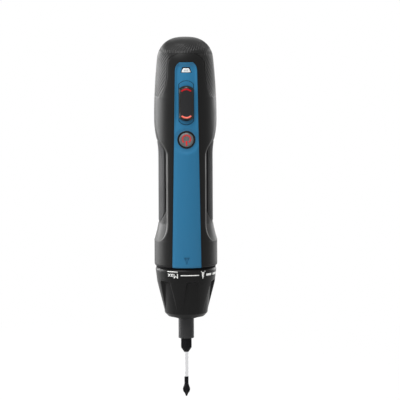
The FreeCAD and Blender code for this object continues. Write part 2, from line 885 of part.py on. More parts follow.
# Controls
def make_direction_knob():
    low = knob_middle - cell.knob_length / 2
    prism = front_prism("knob_prism", stadium(cell.knob_half, low, low + cell.knob_length, cell.knob_end),
                        waist_inner, outside)
    top = common("knob_top", prism, barrel("knob_face", -cell.knob_proud))
    plate = cut("knob_plate", top, barrel("knob_back", cell.strip_sink + cell.track_depth - cell.knob_lift))
    half = cell.stem_length / 2
    stem_end = board_front + cell.switch_depth + cell.stem_gap
    stem_outline = mirrored([(cell.stem_half, knob_middle - half), (cell.stem_half, knob_middle + half)])
    stem = front_prism("knob_stem", stem_outline, stem_end, cell.bulb_radius)
    fuse("direction_knob", plate, stem)


def make_power_button():
    button = new_body("power_button")
    face = cell.bulb_radius + cell.button_proud
    back = face - cell.button_thickness
    stem_end = board_front + cell.tact_depth + cell.tact_rise + cell.button_travel + cell.button_clear
    disc = Round(0, button_height, cell.button_radius)
    stem = Round(0, button_height, cell.button_stem)
    extrude(button, "Pad", "XZ_Plane", back, cell.button_thickness, disc)
    extrude(button, "Pad", "XZ_Plane", stem_end, back - stem_end, stem)
    dish = Round(0, button_height, cell.button_radius - cell.button_dish)
    extrude(button, "Pocket", "XZ_Plane", face, cell.button_dish, dish)


def port_body(label, room, near, far):
    """The oval of the port, grown by room, between two depths behind the axis."""
    radius = cell.port_height / 2 + room
    straight = cell.port_half - cell.port_height / 2
    ends = [rod(f"{label}_end_{number}", radius, (x, near, port_middle), far - near, TO_BACK)
            for number, x in enumerate((straight, -straight), start=1)]
    middle = block(f"{label}_middle", (-straight, straight), (near, far),
                   (port_middle - radius, port_middle + radius))
    return fuse(label, *ends, middle)


def port_mouth():
    rise = port_middle - dome_centre
    return cell.dome_flat + root(dome_corner * dome_corner - rise * rise) - cell.port_recess


def make_port_hole():
    return port_body("port_hole", cell.port_room, port_mouth() - cell.port_length, outside)


def make_usb_socket():
    mouth = port_mouth()
    shell = port_body("port_shell", as_size(0), mouth - cell.port_length, mouth)
    room = port_body("port_inside", -cell.port_wall, mouth - cell.port_cavity, mouth)
    tongue_half = cell.port_tongue / 2
    tongue = block("port_tongue_plate", (-cell.port_tongue_half, cell.port_tongue_half),
                   (mouth - cell.port_cavity, mouth - cell.port_recess),
                   (port_middle - tongue_half, port_middle + tongue_half))
    fuse("usb_socket", cut("port_frame", shell, room), tongue)


# Torque ring and nose
def make_torque_ring():
    ring = new_body("torque_ring")
    inner_top = case_radius + cell.ring_room
    bearing = nose_radius + cell.ring_fit
    nose = -cell.ring_foot - cell.ring_nose_drop
    mouth = tip_radius + cell.clip_reach + cell.ring_lip_room
    turn(ring, [
        (inner_top, -cell.ring_gap), (inner_top, -cell.case_foot - cell.ring_room),
        (bearing, nose_top - cell.ring_room * 2), (bearing, -cell.ring_foot),
        (tip_radius + cell.ring_lip_room, -cell.ring_foot), (tip_radius + cell.ring_lip_room, lip_low),
        (mouth, lip_low), (mouth, ring_end), (cell.ring_end_radius, ring_end),
        (cell.ring_nose_radius, nose, cell.ring_end_bend), (cell.ring_foot_radius, -cell.ring_foot),
        (cell.ring_band_radius, -cell.ring_band), (cell.ring_radius, -cell.ring_gap - cell.ring_edge),
        (cell.ring_radius - cell.ring_edge, -cell.ring_gap)])
    pocket = [(-cell.pocket_high_half, -cell.pocket_high), (-cell.pocket_low_half, -cell.ring_foot),
              (cell.pocket_low_half, -cell.ring_foot), (cell.pocket_high_half, -cell.pocket_high)]
    cut_in = extrude(ring, "Pocket", "XZ_Plane", cell.collar_radius,
                     cell.collar_radius - cell.pocket_floor, pocket)
    repeat_round(ring, cut_in, cell.pocket_count)
    dimple = extrude(ring, "Pocket", "XY_Plane", -cell.ring_gap, cell.dimple_depth,
                     Round(*plunger_place(), cell.dimple_radius))
    repeat_round(ring, dimple, cell.dimple_count)
    seat = cell.ring_radius - cell.sense_magnet_inset
    extrude(ring, "Pocket", "XY_Plane", -cell.ring_gap, cell.sense_magnet_depth,
            Round(0, seat, cell.sense_magnet_radius))
    magnet = new_body("ring_magnet")
    extrude(magnet, "Pad", "XY_Plane", -cell.ring_gap - cell.sense_magnet_depth, cell.sense_magnet_depth,
            Round(0, seat, cell.sense_magnet_radius))
    for piece in (ring, magnet):
        bind(piece, "Placement.Rotation.Angle", cell.ring_phase)


def plunger_place():
    """Where the detent plunger stands, as seen from the ring, which is drawn turned by its phase."""
    cosine = Size(math.cos(math.radians(cell.ring_phase.value)), f"cos({cell.ring_phase.text})")
    sine = Size(math.sin(math.radians(cell.ring_phase.value)), f"sin({cell.ring_phase.text})")
    return -plunger_offset * cosine, plunger_offset * sine


def make_gear_case():
    case = new_body("gear_case")
    groove = tip_radius - cell.clip_groove
    flange_top = cell.flange_low + cell.flange_height
    disc_room = carrier_radius + cell.carrier_room
    turn(case, [
        (case_radius, plate_low), (ring_gear_radius, plate_low), (ring_gear_radius, output_planet_low),
        (disc_room, output_planet_low), (disc_room, spring_seat_top), (spring_bore, spring_seat_top),
        (spring_bore, nose_shoulder), (bush_radius, nose_shoulder), (bush_radius, tip_end),
        (tip_radius, tip_end), (tip_radius, clip_low), (groove, clip_low), (groove, clip_top),
        (tip_radius, clip_top), (tip_radius, tip_start), (nose_radius, tip_start), (nose_radius, nose_top),
        (case_radius, -cell.case_foot), (case_radius, cell.flange_low), (flange_radius, cell.flange_low),
        (flange_radius, flange_top), (case_radius, flange_top)])
    half = cell.key_half + cell.key_room
    reach = spring_bore + cell.key_reach + cell.key_room
    keyway = [(-half, 0), (half, 0), (half, reach), (-half, reach)]
    extrude(case, "Pocket", "XY_Plane", spring_seat_top, spring_seat_top - nose_shoulder, keyway)


def make_nose():
    tube("spindle_bush_low", spindle_bore, bush_radius, tip_end + cell.bush_inset,
         tip_end + cell.bush_inset + cell.bush_length)
    tube("spindle_bush_high", spindle_bore, bush_radius, nose_shoulder - cell.bush_inset - cell.bush_length,
         nose_shoulder - cell.bush_inset)
    group("spindle_bushes", doc.spindle_bush_low, doc.spindle_bush_high)
    clip_radius = tip_radius + cell.clip_reach
    clip = tube("ring_clip", tip_radius - cell.clip_groove, clip_radius, clip_low, clip_top)
    half = cell.clip_opening / 2
    extrude(clip, "Pocket", "XY_Plane", clip_top, cell.clip_height,
            [(-half, 0), (half, 0), (half, outside), (-half, outside)])
    bore = cell.spindle_radius + cell.nose_cap_bore
    cap_radius = clip_radius + cell.nose_cap_room
    lip_end = nose_cap_low - cell.nose_lip_height
    turned("nose_cap", (bore, tip_end), (bore, lip_end), (cell.nose_lip_radius, lip_end),
           (cell.nose_lip_radius, nose_cap_low), (cap_radius, nose_cap_low), (cap_radius, tip_end))


def make_ring_sensing():
    """The detent plunger and the sensor that reads the ring's magnet, both under the flange."""
    tip = cell.plunger_gap - cell.ring_gap
    plunger = turned("detent_plunger", (AXIS, tip), (cell.plunger_radius, tip + cell.plunger_radius,
                                                     cell.plunger_radius),
                     (cell.plunger_radius, cell.flange_low), (AXIS, cell.flange_low))
    bind(plunger, "Placement.Base.x", -plunger_offset)
    near = case_radius + cell.sensor_gap
    half = cell.sensor_length / 2
    far = root(collar_inner * collar_inner - half * half) - cell.sensor_room
    block("torque_sensor", (-half, half), (near, far),
          (cell.flange_low - cell.sensor_height, cell.flange_low))


# Spindle, push springs and bit
def make_spindle():
    spindle = new_body("spindle")
    clip_bed = journal_radius - cell.spindle_clip_depth
    flange = spring_bore - cell.spindle_flange_inset
    turn(spindle, [
        (AXIS, -cell.spindle_end), (cell.spindle_radius - cell.spindle_chamfer, -cell.spindle_end),
        (cell.spindle_radius, cell.spindle_chamfer - cell.spindle_end),
        (cell.spindle_radius, spindle_flange_low), (flange, spindle_flange_low),
        (flange, spindle_flange_top), (journal_radius, spindle_flange_top),
        (journal_radius, spindle_clip_low), (clip_bed, spindle_clip_low), (clip_bed, spindle_clip_top),
        (journal_radius, spindle_clip_top), (journal_radius, journal_top), (AXIS, journal_top)])
    extrude(spindle, "Pad", "XY_Plane", journal_top, tail_top - journal_top, hexagon(cell.tail_across))
    extrude(spindle, "Pocket", "XY_Plane", socket_top, cell.socket_depth, hexagon(socket_across))
    magnet_top = socket_top + cell.bit_magnet_height
    extrude(spindle, "Pocket", "XY_Plane", magnet_top, cell.bit_magnet_height,
            Round(0, 0, cell.bit_magnet_radius))
    rod("bit_magnet", cell.bit_magnet_radius, (0, 0, socket_top), cell.bit_magnet_height)
    clip = tube("spindle_clip", clip_bed, output_boss_radius - cell.spindle_clip_inset, spindle_clip_low,
                spindle_clip_top)
    half = cell.clip_opening / 2
    extrude(clip, "Pocket", "XY_Plane", spindle_clip_top, cell.spindle_clip_height,
            [(-half, 0), (half, 0), (half, outside), (-half, outside)])


def make_push_start():
    ring = tube("thrust_ring", journal_radius + cell.running_fit, spring_bore - cell.thrust_gap, thrust_low,
                thrust_top)
    key = block("thrust_key", (-cell.key_half, cell.key_half),
                (spring_bore - cell.key_reach, spring_bore + cell.key_reach), (thrust_low, thrust_top))
    fuse("thrust_collar", ring, key)
    discs = []
    for number in range(int(cell.disc_count.value)):
        low = thrust_top + cell.disc_pitch * number
        high = low + cell.disc_pitch - cell.disc_gap
        rims = (disc_outer, disc_inner) if number % 2 else (disc_inner, disc_outer)
        discs.append(turned(f"push_disc_{number + 1}", (rims[0], low), (rims[0], low + cell.disc_thickness),
                            (rims[1], high), (rims[1], high - cell.disc_thickness)))
    group("push_springs", *discs)
    tube("spring_seat", output_boss_radius + cell.spring_seat_room, spring_bore, spring_seat_low,
         spring_seat_top)
    tube("thrust_washer", output_boss_radius + cell.washer_room, carrier_radius, washer_low, washer_top)


def make_bit():
    corner = cell.bit_across / root(as_size(3)) - cell.bit_corner_cut
    shank = turned("bit_shank", (AXIS, bit_top), (AXIS, bit_cone_low), (cell.bit_shaft_radius, bit_cone_low),
                   (corner, bit_shank_low), (corner, bit_top - cell.bit_edge),
                   (corner - cell.bit_edge, bit_top))
    hexagon_bar = new_body("bit_hexagon")
    extrude(hexagon_bar, "Pad", "XY_Plane", bit_cone_low, bit_top - bit_cone_low, hexagon(cell.bit_across))
    shaft = turned("bit_shaft", (AXIS, bit_cone_low), (AXIS, bit_tip), (cell.bit_tip_radius, bit_tip),
                   (cell.bit_head_radius, bit_head_low), (cell.bit_head_radius, bit_head_top),
                   (cell.bit_shaft_radius, bit_shaft_low), (cell.bit_shaft_radius, bit_cone_low))
    place = cell.flute_offset / root(as_size(2))
    flutes = [rod(f"flute_{number}", cell.flute_radius, (place * x, place * y, bit_tip), cell.flute_run)
              for number, (x, y) in enumerate(((1, 1), (-1, 1), (-1, -1), (1, -1)), start=1)]
    blank = fuse("bit_blank", common("bit_shank_hexagon", shank, hexagon_bar), shaft)
    cut("screwdriver_bit", blank, *flutes)


# Gears
def involute(angle):
    return math.tan(angle) - angle


def toothed_face(teeth, foot, tip, thicken):
    """A toothed disc from foot to tip radius: involute flanks as arcs, radial below the base circle."""
    pressure = math.radians(cell.pressure_angle.value)
    pitch = cell.gear_module.value * teeth / 2
    base = pitch * math.cos(pressure)
    flank_foot = max(foot, base)
    flank_middle = (flank_foot + tip) / 2

    def half_angle(radius):
        here = math.acos(min(base / radius, 1.0))
        return math.pi / (2 * teeth) + thicken / pitch + involute(pressure) - involute(here)

    def at(radius, angle):
        return V(radius * math.cos(angle), radius * math.sin(angle), 0)

    edges = []
    step = 2 * math.pi / teeth
    for middle in (step * tooth for tooth in range(teeth)):
        for side in (-1, 1):
            flank = [at(radius, middle + side * half_angle(radius))
                     for radius in (flank_foot, flank_middle, tip)]
            edges.append(Part.Arc(*flank).toShape())
            if foot < base:
                start = at(foot, middle + side * half_angle(flank_foot))
                edges.append(Part.LineSegment(start, flank[0]).toShape())
        edges.append(Part.Arc(at(tip, middle - half_angle(tip)), at(tip, middle),
                              at(tip, middle + half_angle(tip))).toShape())
        root_angle = half_angle(flank_foot)
        edges.append(Part.Arc(at(foot, middle + root_angle), at(foot, middle + step / 2),
                              at(foot, middle + step - root_angle)).toShape())
    return Part.Face(Part.Wire(Part.__sortEdges__(edges)))


def gear_feature(label, teeth, low, width, bore, place=V(0, 0, 0), angle=0.0):
    """An external gear on the tool's axis or on a planet pin."""
    pitch = cell.gear_module.value * teeth / 2
    face = toothed_face(teeth, pitch - cell.tooth_dedendum.value, pitch + cell.tooth_addendum.value,
                        -cell.flank_gap.value)
    shape = face.extrude(V(0, 0, width.value))
    if bore:
        shape = shape.cut(Part.makeCylinder(bore.value, width.value))
    feature = doc.addObject("Part::Feature", label)
    feature.Shape = shape
    feature.Placement = FreeCAD.Placement(place + V(0, 0, low.value), FreeCAD.Rotation(V(0, 0, 1), angle))
    return feature


def make_ring_gear():
    teeth = round(2 * ring_pitch.value / cell.gear_module.value)
    pitch = ring_pitch.value
    width = plate_low.value - output_planet_low.value
    spaces = toothed_face(teeth, pitch - cell.ring_addendum.value, pitch + cell.tooth_dedendum.value,
                          cell.flank_gap.value)
    blank = Part.makeCylinder(ring_gear_radius.value, width)
    feature = doc.addObject("Part::Feature", "ring_gear")
    feature.Shape = blank.cut(spaces.extrude(V(0, 0, width)))
    feature.Placement = FreeCAD.Placement(V(0, 0, output_planet_low.value), FreeCAD.Rotation())


PLANETS = 3


def planet_angles():
    return [360.0 * number / PLANETS for number in range(PLANETS)]


def make_planets(stage, low, pin_low):
    """Three planets that mesh with the sun and the ring gear, and the pins that carry them."""
    teeth = int(cell.planet_teeth.value)
    bore = cell.pin_radius + cell.running_fit
    pins = []
    for number, angle in enumerate(planet_angles(), start=1):
        cosine, sine = math.cos(math.radians(angle)), math.sin(math.radians(angle))
        place = V(planet_orbit.value * cosine, planet_orbit.value * sine, 0)
        gear_feature(f"{stage}_planet_{number}", teeth, low, cell.planet_width, bore, place,
                     angle + 180.0 - 180.0 / teeth)
        pin_foot = (planet_orbit * cosine, planet_orbit * sine, pin_low)
        pin_length = low + cell.planet_width - pin_low
        pins.append(rod(f"{stage}_pin_{number}", cell.pin_radius, pin_foot, pin_length))
    group(f"{stage}_pins", *pins)


def drill_pin_holes(carrier, top, depth):
    hole = extrude(carrier, "Pocket", "XY_Plane", top, depth, Round(planet_orbit, 0, cell.pin_radius))
    repeat_round(carrier, hole, as_size(PLANETS))


def make_carriers():
    output = turned("output_carrier", (AXIS, output_boss_low), (output_boss_radius, output_boss_low),
                    (output_boss_radius, output_disc_low), (carrier_radius, output_disc_low),
                    (carrier_radius, cell.output_disc_top), (AXIS, cell.output_disc_top))
    extrude(output, "Pocket", "XY_Plane", cell.output_disc_top, cell.output_disc_top - output_boss_low,
            hexagon(cell.tail_across + cell.tail_room))
    drill_pin_holes(output, cell.output_disc_top, cell.output_disc_height)
    disc = turned("input_disc", (AXIS, input_disc_low), (carrier_radius, input_disc_low),
                  (carrier_radius, input_disc_top), (AXIS, input_disc_top))
    drill_pin_holes(disc, input_disc_top, cell.input_disc_height)
    sun = gear_feature("output_sun", int(cell.sun_teeth.value), output_planet_low,
                       input_disc_low - output_planet_low, None)
    fuse("input_carrier", disc, sun)


# Motor
def make_motor_shell():
    plate = tube("motor_plate", cell.plate_hole, case_radius, plate_low, can_low)
    can = turned("motor_can", (cell.motor_bush_radius, can_low), (can_radius, can_low), (can_radius, can_top),
                 (can_inner, can_top), (can_inner, can_low + cell.can_front),
                 (cell.motor_bush_radius, can_low + cell.can_front))
    holes = [Round(side * cell.plate_screw_offset, 0, cell.plate_screw_radius) for side in (1, -1)]
    extrude(plate, "Pocket", "XY_Plane", can_low, cell.plate_height, *holes)
    extrude(can, "Pocket", "XY_Plane", can_low + cell.can_front, cell.can_front, *holes)
    screws = []
    for number, side in enumerate((1, -1), start=1):
        x = side * cell.plate_screw_offset
        head = rod(f"plate_screw_head_{number}", cell.plate_screw_head,
                   (x, 0, plate_low - cell.plate_screw_head_height), cell.plate_screw_head_height)
        shank = rod(f"plate_screw_shank_{number}", cell.plate_screw_radius, (x, 0, plate_low),
                    cell.plate_screw_length)
        screws.append(fuse(f"plate_screw_{number}", head, shank))
    group("plate_screws", *screws)
    bore = cell.shaft_radius + cell.running_fit
    bush_top = can_low + cell.motor_bush_length
    bush_low = bell_boss_top - cell.motor_bush_length
    group("motor_bushes", tube("motor_bush_front", bore, cell.motor_bush_radius, can_low, bush_top),
          tube("motor_bush_rear", bore, cell.motor_bush_radius, bush_low, bell_boss_top))
    magnet_low = can_low + cell.magnet_rise
    magnet_top = magnet_low + cell.magnet_length
    split = cell.magnet_split / 2
    cut("motor_magnets", tube("magnet_tube", magnet_inner, can_inner, magnet_low, magnet_top),
        block("magnet_gap", (-split, split), (-outside, outside), (magnet_low, magnet_top)))


def make_motor_end():
    bush_low = bell_boss_top - cell.motor_bush_length
    bell = turned("bell_plate", (cell.bell_hole, can_top), (can_radius, can_top), (can_radius, bell_top),
                  (cell.bell_boss_radius, bell_top), (cell.bell_boss_radius, bell_boss_top),
                  (cell.motor_bush_radius, bell_boss_top), (cell.motor_bush_radius, bush_low),
                  (cell.bell_hole, bush_low))
    holders, brushes, terminals, leads = [], [], [], []
    brush_top = brush_low + cell.brush_height
    for number, side in enumerate((1, -1), start=1):
        near = cell.commutator_radius + cell.brush_gap
        far = near + cell.brush_length
        half = cell.brush_half + cell.holder_wall
        holder_near = cell.commutator_radius + cell.holder_gap
        holders.append(block(f"brush_holder_{number}", across(side, holder_near, far), (-half, half),
                             (brush_low - cell.holder_wall, can_top)))
        brushes.append(block(f"motor_brush_{number}", across(side, near, far),
                             (-cell.brush_half, cell.brush_half), (brush_low, brush_top)))
        x = side * cell.terminal_offset
        terminals.append(block(f"motor_terminal_{number}", (x - cell.terminal_half, x + cell.terminal_half),
                               (-board_middle - cell.terminal_thickness / 2,
                                -board_middle + cell.terminal_thickness / 2), (bell_top, terminal_top)))
        leads.append(rod(f"motor_lead_{number}", cell.lead_radius, (x, -board_middle, terminal_top),
                         cradle_floor - terminal_top))
    cut("motor_end_bell", fuse("bell_and_holders", bell, *holders), *brushes)
    group("motor_brushes", *brushes)
    group("motor_terminals", *terminals)
    group("motor_leads", *leads)


def across(side, near, far):
    """The (low, high) pair from near to far on one side of the axis."""
    return (near, far) if side > 0 else (-far, -near)


def make_rotor():
    shaft_length = bell_boss_top + cell.shaft_over - input_planet_low
    rod("rotor_shaft", cell.shaft_radius, (0, 0, input_planet_low), shaft_length)
    core = tube("rotor_core", cell.shaft_radius, core_radius, core_low, core_top)
    rim = core_radius - cell.core_rim
    wide, narrow = cell.slot_half, cell.slot_mouth
    slot = [(cell.core_hub, -wide), (rim, -wide), (rim, -narrow), (core_radius * 2, -narrow),
            (core_radius * 2, narrow), (rim, narrow), (rim, wide), (cell.core_hub, wide)]
    slot_cut = extrude(core, "Pocket", "XY_Plane", core_top, cell.core_length, slot)
    repeat_round(core, slot_cut, cell.core_slots)
    winding = tube("winding_tube", cell.core_hub - cell.winding_bury, rim, core_low - cell.winding_over,
                   core_top + cell.winding_over)
    cut("rotor_windings", winding, core)
    tube("commutator", cell.shaft_radius, cell.commutator_radius, commutator_low,
         commutator_low + cell.commutator_length)
    gear_feature("motor_pinion", int(cell.sun_teeth.value), input_planet_low, cell.planet_width,
                 cell.shaft_radius)


# Battery and electronics
def make_battery():
    edge = cell.battery_edge
    battery = turned("battery_cell", (AXIS, battery_low), (cell.battery_radius - edge, battery_low),
                     (cell.battery_radius, battery_low + edge), (cell.battery_radius, battery_top - edge),
                     (cell.battery_radius - edge, battery_top), (AXIS, battery_top))
    bind(battery, "Placement.Base.y", battery_back)
    tabs = [block(f"battery_tab_{number}", (-cell.tab_half, cell.tab_half),
                  (-board_back, battery_back + cell.tab_half), (low, low + cell.tab_thickness))
            for number, low in enumerate((cradle_floor, battery_top), start=1)]
    group("battery_tabs", *tabs)


def make_battery_cradle():
    """Two discs that reach the housing's walls, and a half tube between them behind the cell."""
    rise = cradle_top - dome_centre
    inner = dome_corner - cell.grip_wall
    roof_radius = cell.dome_flat + root(inner * inner - rise * rise) - cell.cradle_room
    floor = rod("cradle_floor_disc", waist_inner, (0, 0, cradle_low), cell.cradle_disc)
    roof = rod("cradle_roof_disc", roof_radius, (0, 0, cradle_roof), cell.cradle_top_disc)
    sleeve = tube("cradle_sleeve", cradle_tube, cradle_tube + cell.cradle_wall, cradle_floor, cradle_roof)
    bind(sleeve, "Placement.Base.y", battery_back)
    behind = block("cradle_behind", (-outside, outside), (battery_back, outside),
                   (cradle_floor, cradle_roof))
    lead_holes = [rod(f"lead_hole_{number}", cell.lead_radius + cell.lead_room,
                      (side * cell.terminal_offset, -board_middle, cradle_low), cell.cradle_disc)
                  for number, side in enumerate((1, -1), start=1)]
    solid = fuse("cradle_solid", floor, roof, common("cradle_back", sleeve, behind))
    cut("battery_cradle", solid, *lead_holes)


def make_boards():
    block("control_board", (-board_half, board_half), (-board_front, -board_back),
          (cradle_floor, cradle_roof))
    half = cell.switch_length / 2
    block("direction_switch", (-cell.switch_half, cell.switch_half),
          (-board_front - cell.switch_depth, -board_front), (knob_middle - half, knob_middle + half))
    tact_front = -board_front - cell.tact_depth
    tact = block("tact_body", (-cell.tact_half, cell.tact_half), (tact_front, -board_front),
                 (button_height - cell.tact_half, button_height + cell.tact_half))
    tact_pin = rod("tact_pin", cell.tact_plunger, (0, tact_front - cell.tact_rise, button_height),
                   cell.tact_rise, TO_BACK)
    fuse("power_switch", tact, tact_pin)
    led_middle = window_low + cell.window_length / 2
    block("charge_led", (-cell.led_half, cell.led_half), (-board_front - cell.led_depth, -board_front),
          (led_middle - cell.led_length / 2, led_middle + cell.led_length / 2))
    block("charge_board", (-cell.charge_board_half, cell.charge_board_half),
          (as_size(0), cell.charge_board_depth), (cradle_top, charge_board_top))


NODES = [
    "front_shell", "rear_shell", "dome_cap", "grip_sleeve", "fascia_strip", "charge_window",
    "housing_screws", "direction_knob", "power_button", "torque_ring", "ring_magnet", "gear_case",
    "ring_gear", "spindle_bushes", "ring_clip", "nose_cap", "detent_plunger", "torque_sensor",
    "spring_seat", "thrust_washer", "thrust_collar", "push_springs", "spindle", "bit_magnet",
    "spindle_clip", "screwdriver_bit", "output_carrier", "output_pins", "output_planet_1",
    "output_planet_2", "output_planet_3", "input_carrier", "input_pins", "input_planet_1",
    "input_planet_2", "input_planet_3", "motor_pinion", "rotor_shaft", "rotor_core",
    "rotor_windings", "commutator", "motor_plate", "plate_screws", "motor_can", "motor_bushes",
    "motor_magnets", "motor_end_bell", "motor_brushes", "motor_terminals", "motor_leads",
    "battery_cell", "battery_tabs", "battery_cradle", "control_board", "direction_switch",
    "power_switch", "charge_led", "charge_board", "usb_socket"]


def check_document():
    """Stops if any object failed, or if a sub-part has no valid solid."""
    failed = [thing.Name for thing in doc.Objects if {"Invalid", "Error"} & set(thing.State)]
    hollow = [name for name in NODES if doc.getObject(name).Shape.isNull()
              or not doc.getObject(name).Shape.isValid() or not doc.getObject(name).Shape.Solids]
    if failed or hollow:
        raise RuntimeError(f"failed objects {failed}, bad sub-parts {hollow}")


def export():
    os.makedirs("parts", exist_ok=True)
    for name in NODES:
        doc.getObject(name).Shape.exportStep(os.path.join("parts", f"{name}.step"))


make_housing()
make_housing_screws()
make_direction_knob()
make_power_button()
make_usb_socket()
make_torque_ring()
make_gear_case()
make_nose()
make_ring_sensing()
make_spindle()
make_push_start()
make_bit()
make_ring_gear()
make_carriers()
make_planets("output", output_planet_low, output_disc_low)
make_planets("input", input_planet_low, input_disc_low)
make_motor_shell()
make_motor_end()
make_rotor()
make_battery()
make_battery_cradle()
make_boards()
doc.recompute()
check_document()
export()
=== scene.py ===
# %% [markdown]
# # A cordless screwdriver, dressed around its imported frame
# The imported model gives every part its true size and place. This lesson keeps that frame
# fixed and builds finer skins over it: shells with soft edges, a studded rubber grip, a
# ring with grip pockets and a steel bit. Everything is in the frame's own axes: the tool
# stands along Z with its bit down, and the blue control strip faces the -Y side.

# %% Load the frame
import json
from math import asin, ceil, cos, degrees, dist, hypot, pi, radians, sin, sqrt

import bmesh
import bpy
from mathutils import Matrix, Vector


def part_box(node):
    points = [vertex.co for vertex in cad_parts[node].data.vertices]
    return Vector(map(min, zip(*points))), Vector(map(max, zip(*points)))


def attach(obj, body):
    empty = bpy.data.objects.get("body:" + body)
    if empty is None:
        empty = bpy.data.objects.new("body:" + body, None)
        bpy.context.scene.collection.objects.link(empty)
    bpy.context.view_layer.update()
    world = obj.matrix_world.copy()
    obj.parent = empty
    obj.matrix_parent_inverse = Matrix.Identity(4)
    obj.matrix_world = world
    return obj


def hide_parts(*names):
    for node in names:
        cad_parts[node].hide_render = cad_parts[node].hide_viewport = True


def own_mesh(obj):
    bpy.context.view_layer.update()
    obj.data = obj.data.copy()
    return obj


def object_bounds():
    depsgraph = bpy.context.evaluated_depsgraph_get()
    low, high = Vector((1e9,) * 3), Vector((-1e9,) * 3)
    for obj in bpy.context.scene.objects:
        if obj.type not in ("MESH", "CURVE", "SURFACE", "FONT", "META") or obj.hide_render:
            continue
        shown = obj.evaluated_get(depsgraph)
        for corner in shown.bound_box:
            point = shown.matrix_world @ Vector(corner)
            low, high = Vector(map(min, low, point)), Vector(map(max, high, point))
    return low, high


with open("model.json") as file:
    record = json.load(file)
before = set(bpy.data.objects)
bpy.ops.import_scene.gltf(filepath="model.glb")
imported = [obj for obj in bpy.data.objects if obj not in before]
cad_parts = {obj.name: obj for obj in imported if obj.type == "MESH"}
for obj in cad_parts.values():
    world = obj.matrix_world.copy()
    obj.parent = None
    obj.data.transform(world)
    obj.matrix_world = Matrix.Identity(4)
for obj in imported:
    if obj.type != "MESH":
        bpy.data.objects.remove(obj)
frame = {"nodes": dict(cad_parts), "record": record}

CAD_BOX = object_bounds()
MM = 0.001
print("box in mm:", [round(v / MM, 1) for v in CAD_BOX[0]], [round(v / MM, 1) for v in CAD_BOX[1]])

# %% [markdown]
# The body is a round bar whose radius changes along its length. Two lines describe it. The
# barrel is the outer line, seen on the front spine, the collar and the bulb. The waist is
# the line of the slim part under the rubber. Both are written as functions of height in
# millimetres, so every skin that lies on the body can ask for its radius.

# %% Body lines
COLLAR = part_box("rear_shell")[1].x / MM
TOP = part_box("dome_cap")[1].z / MM
BULB_INSET, WAIST_INSET = 0.1, 2.5
BULB = COLLAR - BULB_INSET
WAIST = COLLAR - WAIST_INSET
RAMP_LOW, RAMP_HIGH, RAMP_BULGE = 15.6, 26.0, 0.3
BEND_LOW, BULB_LOW = 67.0, 89.0
SHOULDER = 126.2
FLANK_BEND = 351.7
CROWN_FLAT, CROWN_BEND = 3.5, 13.5
CROWN_CENTRE = TOP - CROWN_BEND


def mix(a, b, t):
    return a + (b - a) * t


def share(low, high, value):
    """How far a value lies on its way from low to high, kept between 0 and 1."""
    return max(0.0, min(1.0, (value - low) / (high - low)))


def smooth(low, high, value):
    t = share(low, high, value)
    return t * t * (3 - 2 * t)


def barrel(z):
    if z <= RAMP_LOW:
        return COLLAR
    if z <= BULB_LOW:
        return mix(COLLAR, BULB, (z - RAMP_LOW) / (BULB_LOW - RAMP_LOW))
    if z <= SHOULDER:
        return BULB - FLANK_BEND + sqrt(FLANK_BEND ** 2 - (z - BULB_LOW) ** 2)
    return CROWN_FLAT + sqrt(max(CROWN_BEND ** 2 - (z - CROWN_CENTRE) ** 2, 0.0))


def waist(z):
    if z <= RAMP_LOW:
        return COLLAR
    if z <= RAMP_HIGH:
        t = (z - RAMP_LOW) / (RAMP_HIGH - RAMP_LOW)
        return mix(COLLAR, WAIST, t + RAMP_BULGE * t * (1 - t))
    if z <= BEND_LOW:
        return WAIST
    if z <= BULB_LOW:
        t = (z - BEND_LOW) / (BULB_LOW - BEND_LOW)
        ease = 2 * t * t if t < 0.5 else 1 - 2 * (1 - t) ** 2
        return mix(WAIST, BULB, ease)
    return barrel(z)


print("barrel and waist at 50 mm:", round(barrel(50), 2), round(waist(50), 2))

# %% [markdown]
# On the front, lines drawn in the front view divide the body into pieces: the strip's edge,
# the edge of the raised spine and the arch of the dome cap, and the slanted border of the
# rubber grip. Each line is a list of half width and height. A soft corner is a short curve
# pulled towards the corner point.

# %% Front lines
STRIP_LOW, STRIP_BEND, STRIP_TOP = 0.0, 119.6, 125.0
SKIRT, CROWN = 102.2, 130.2
GRIP_LOW, GRIP_TOP, SLANT_LOW, SLANT_TOP = 25.8, 77.0, 34.5, 70.0
SPINE_HALF, BULB_HALF, GRIP_TOP_HALF = 11.8, 17.2, 17.5
ARCH_HALF, ARCH_CORNER = 11.5, 8.0


def evenly(start, stop, count):
    return [mix(start, stop, i / count) for i in range(count + 1)]


def steps(start, stop, gap):
    return evenly(start, stop, max(1, ceil(abs(stop - start) / gap - 1e-6)))


def bow(a, b, c, count):
    """Points on a curve from a to c that is pulled towards b."""
    points = []
    for t in evenly(0.0, 1.0, count):
        weights = ((1 - t) ** 2, 2 * t * (1 - t), t * t)
        points.append(tuple(sum(w * p for w, p in zip(weights, trio)) for trio in zip(a, b, c)))
    return points


def sweep(x, z, wide, tall, start, stop, count):
    """Points on an ellipse round (x, z), from one angle to another, in degrees."""
    return [(x + wide * cos(radians(a)), z + tall * sin(radians(a)))
            for a in evenly(start, stop, count)]


def across(line, z):
    """The half width of a line at a height."""
    for (x0, z0), (x1, z1) in zip(line, line[1:]):
        if z0 <= z <= z1 and z1 > z0:
            return mix(x0, x1, (z - z0) / (z1 - z0))
    return line[0][0] if z < line[0][1] else line[-1][0]


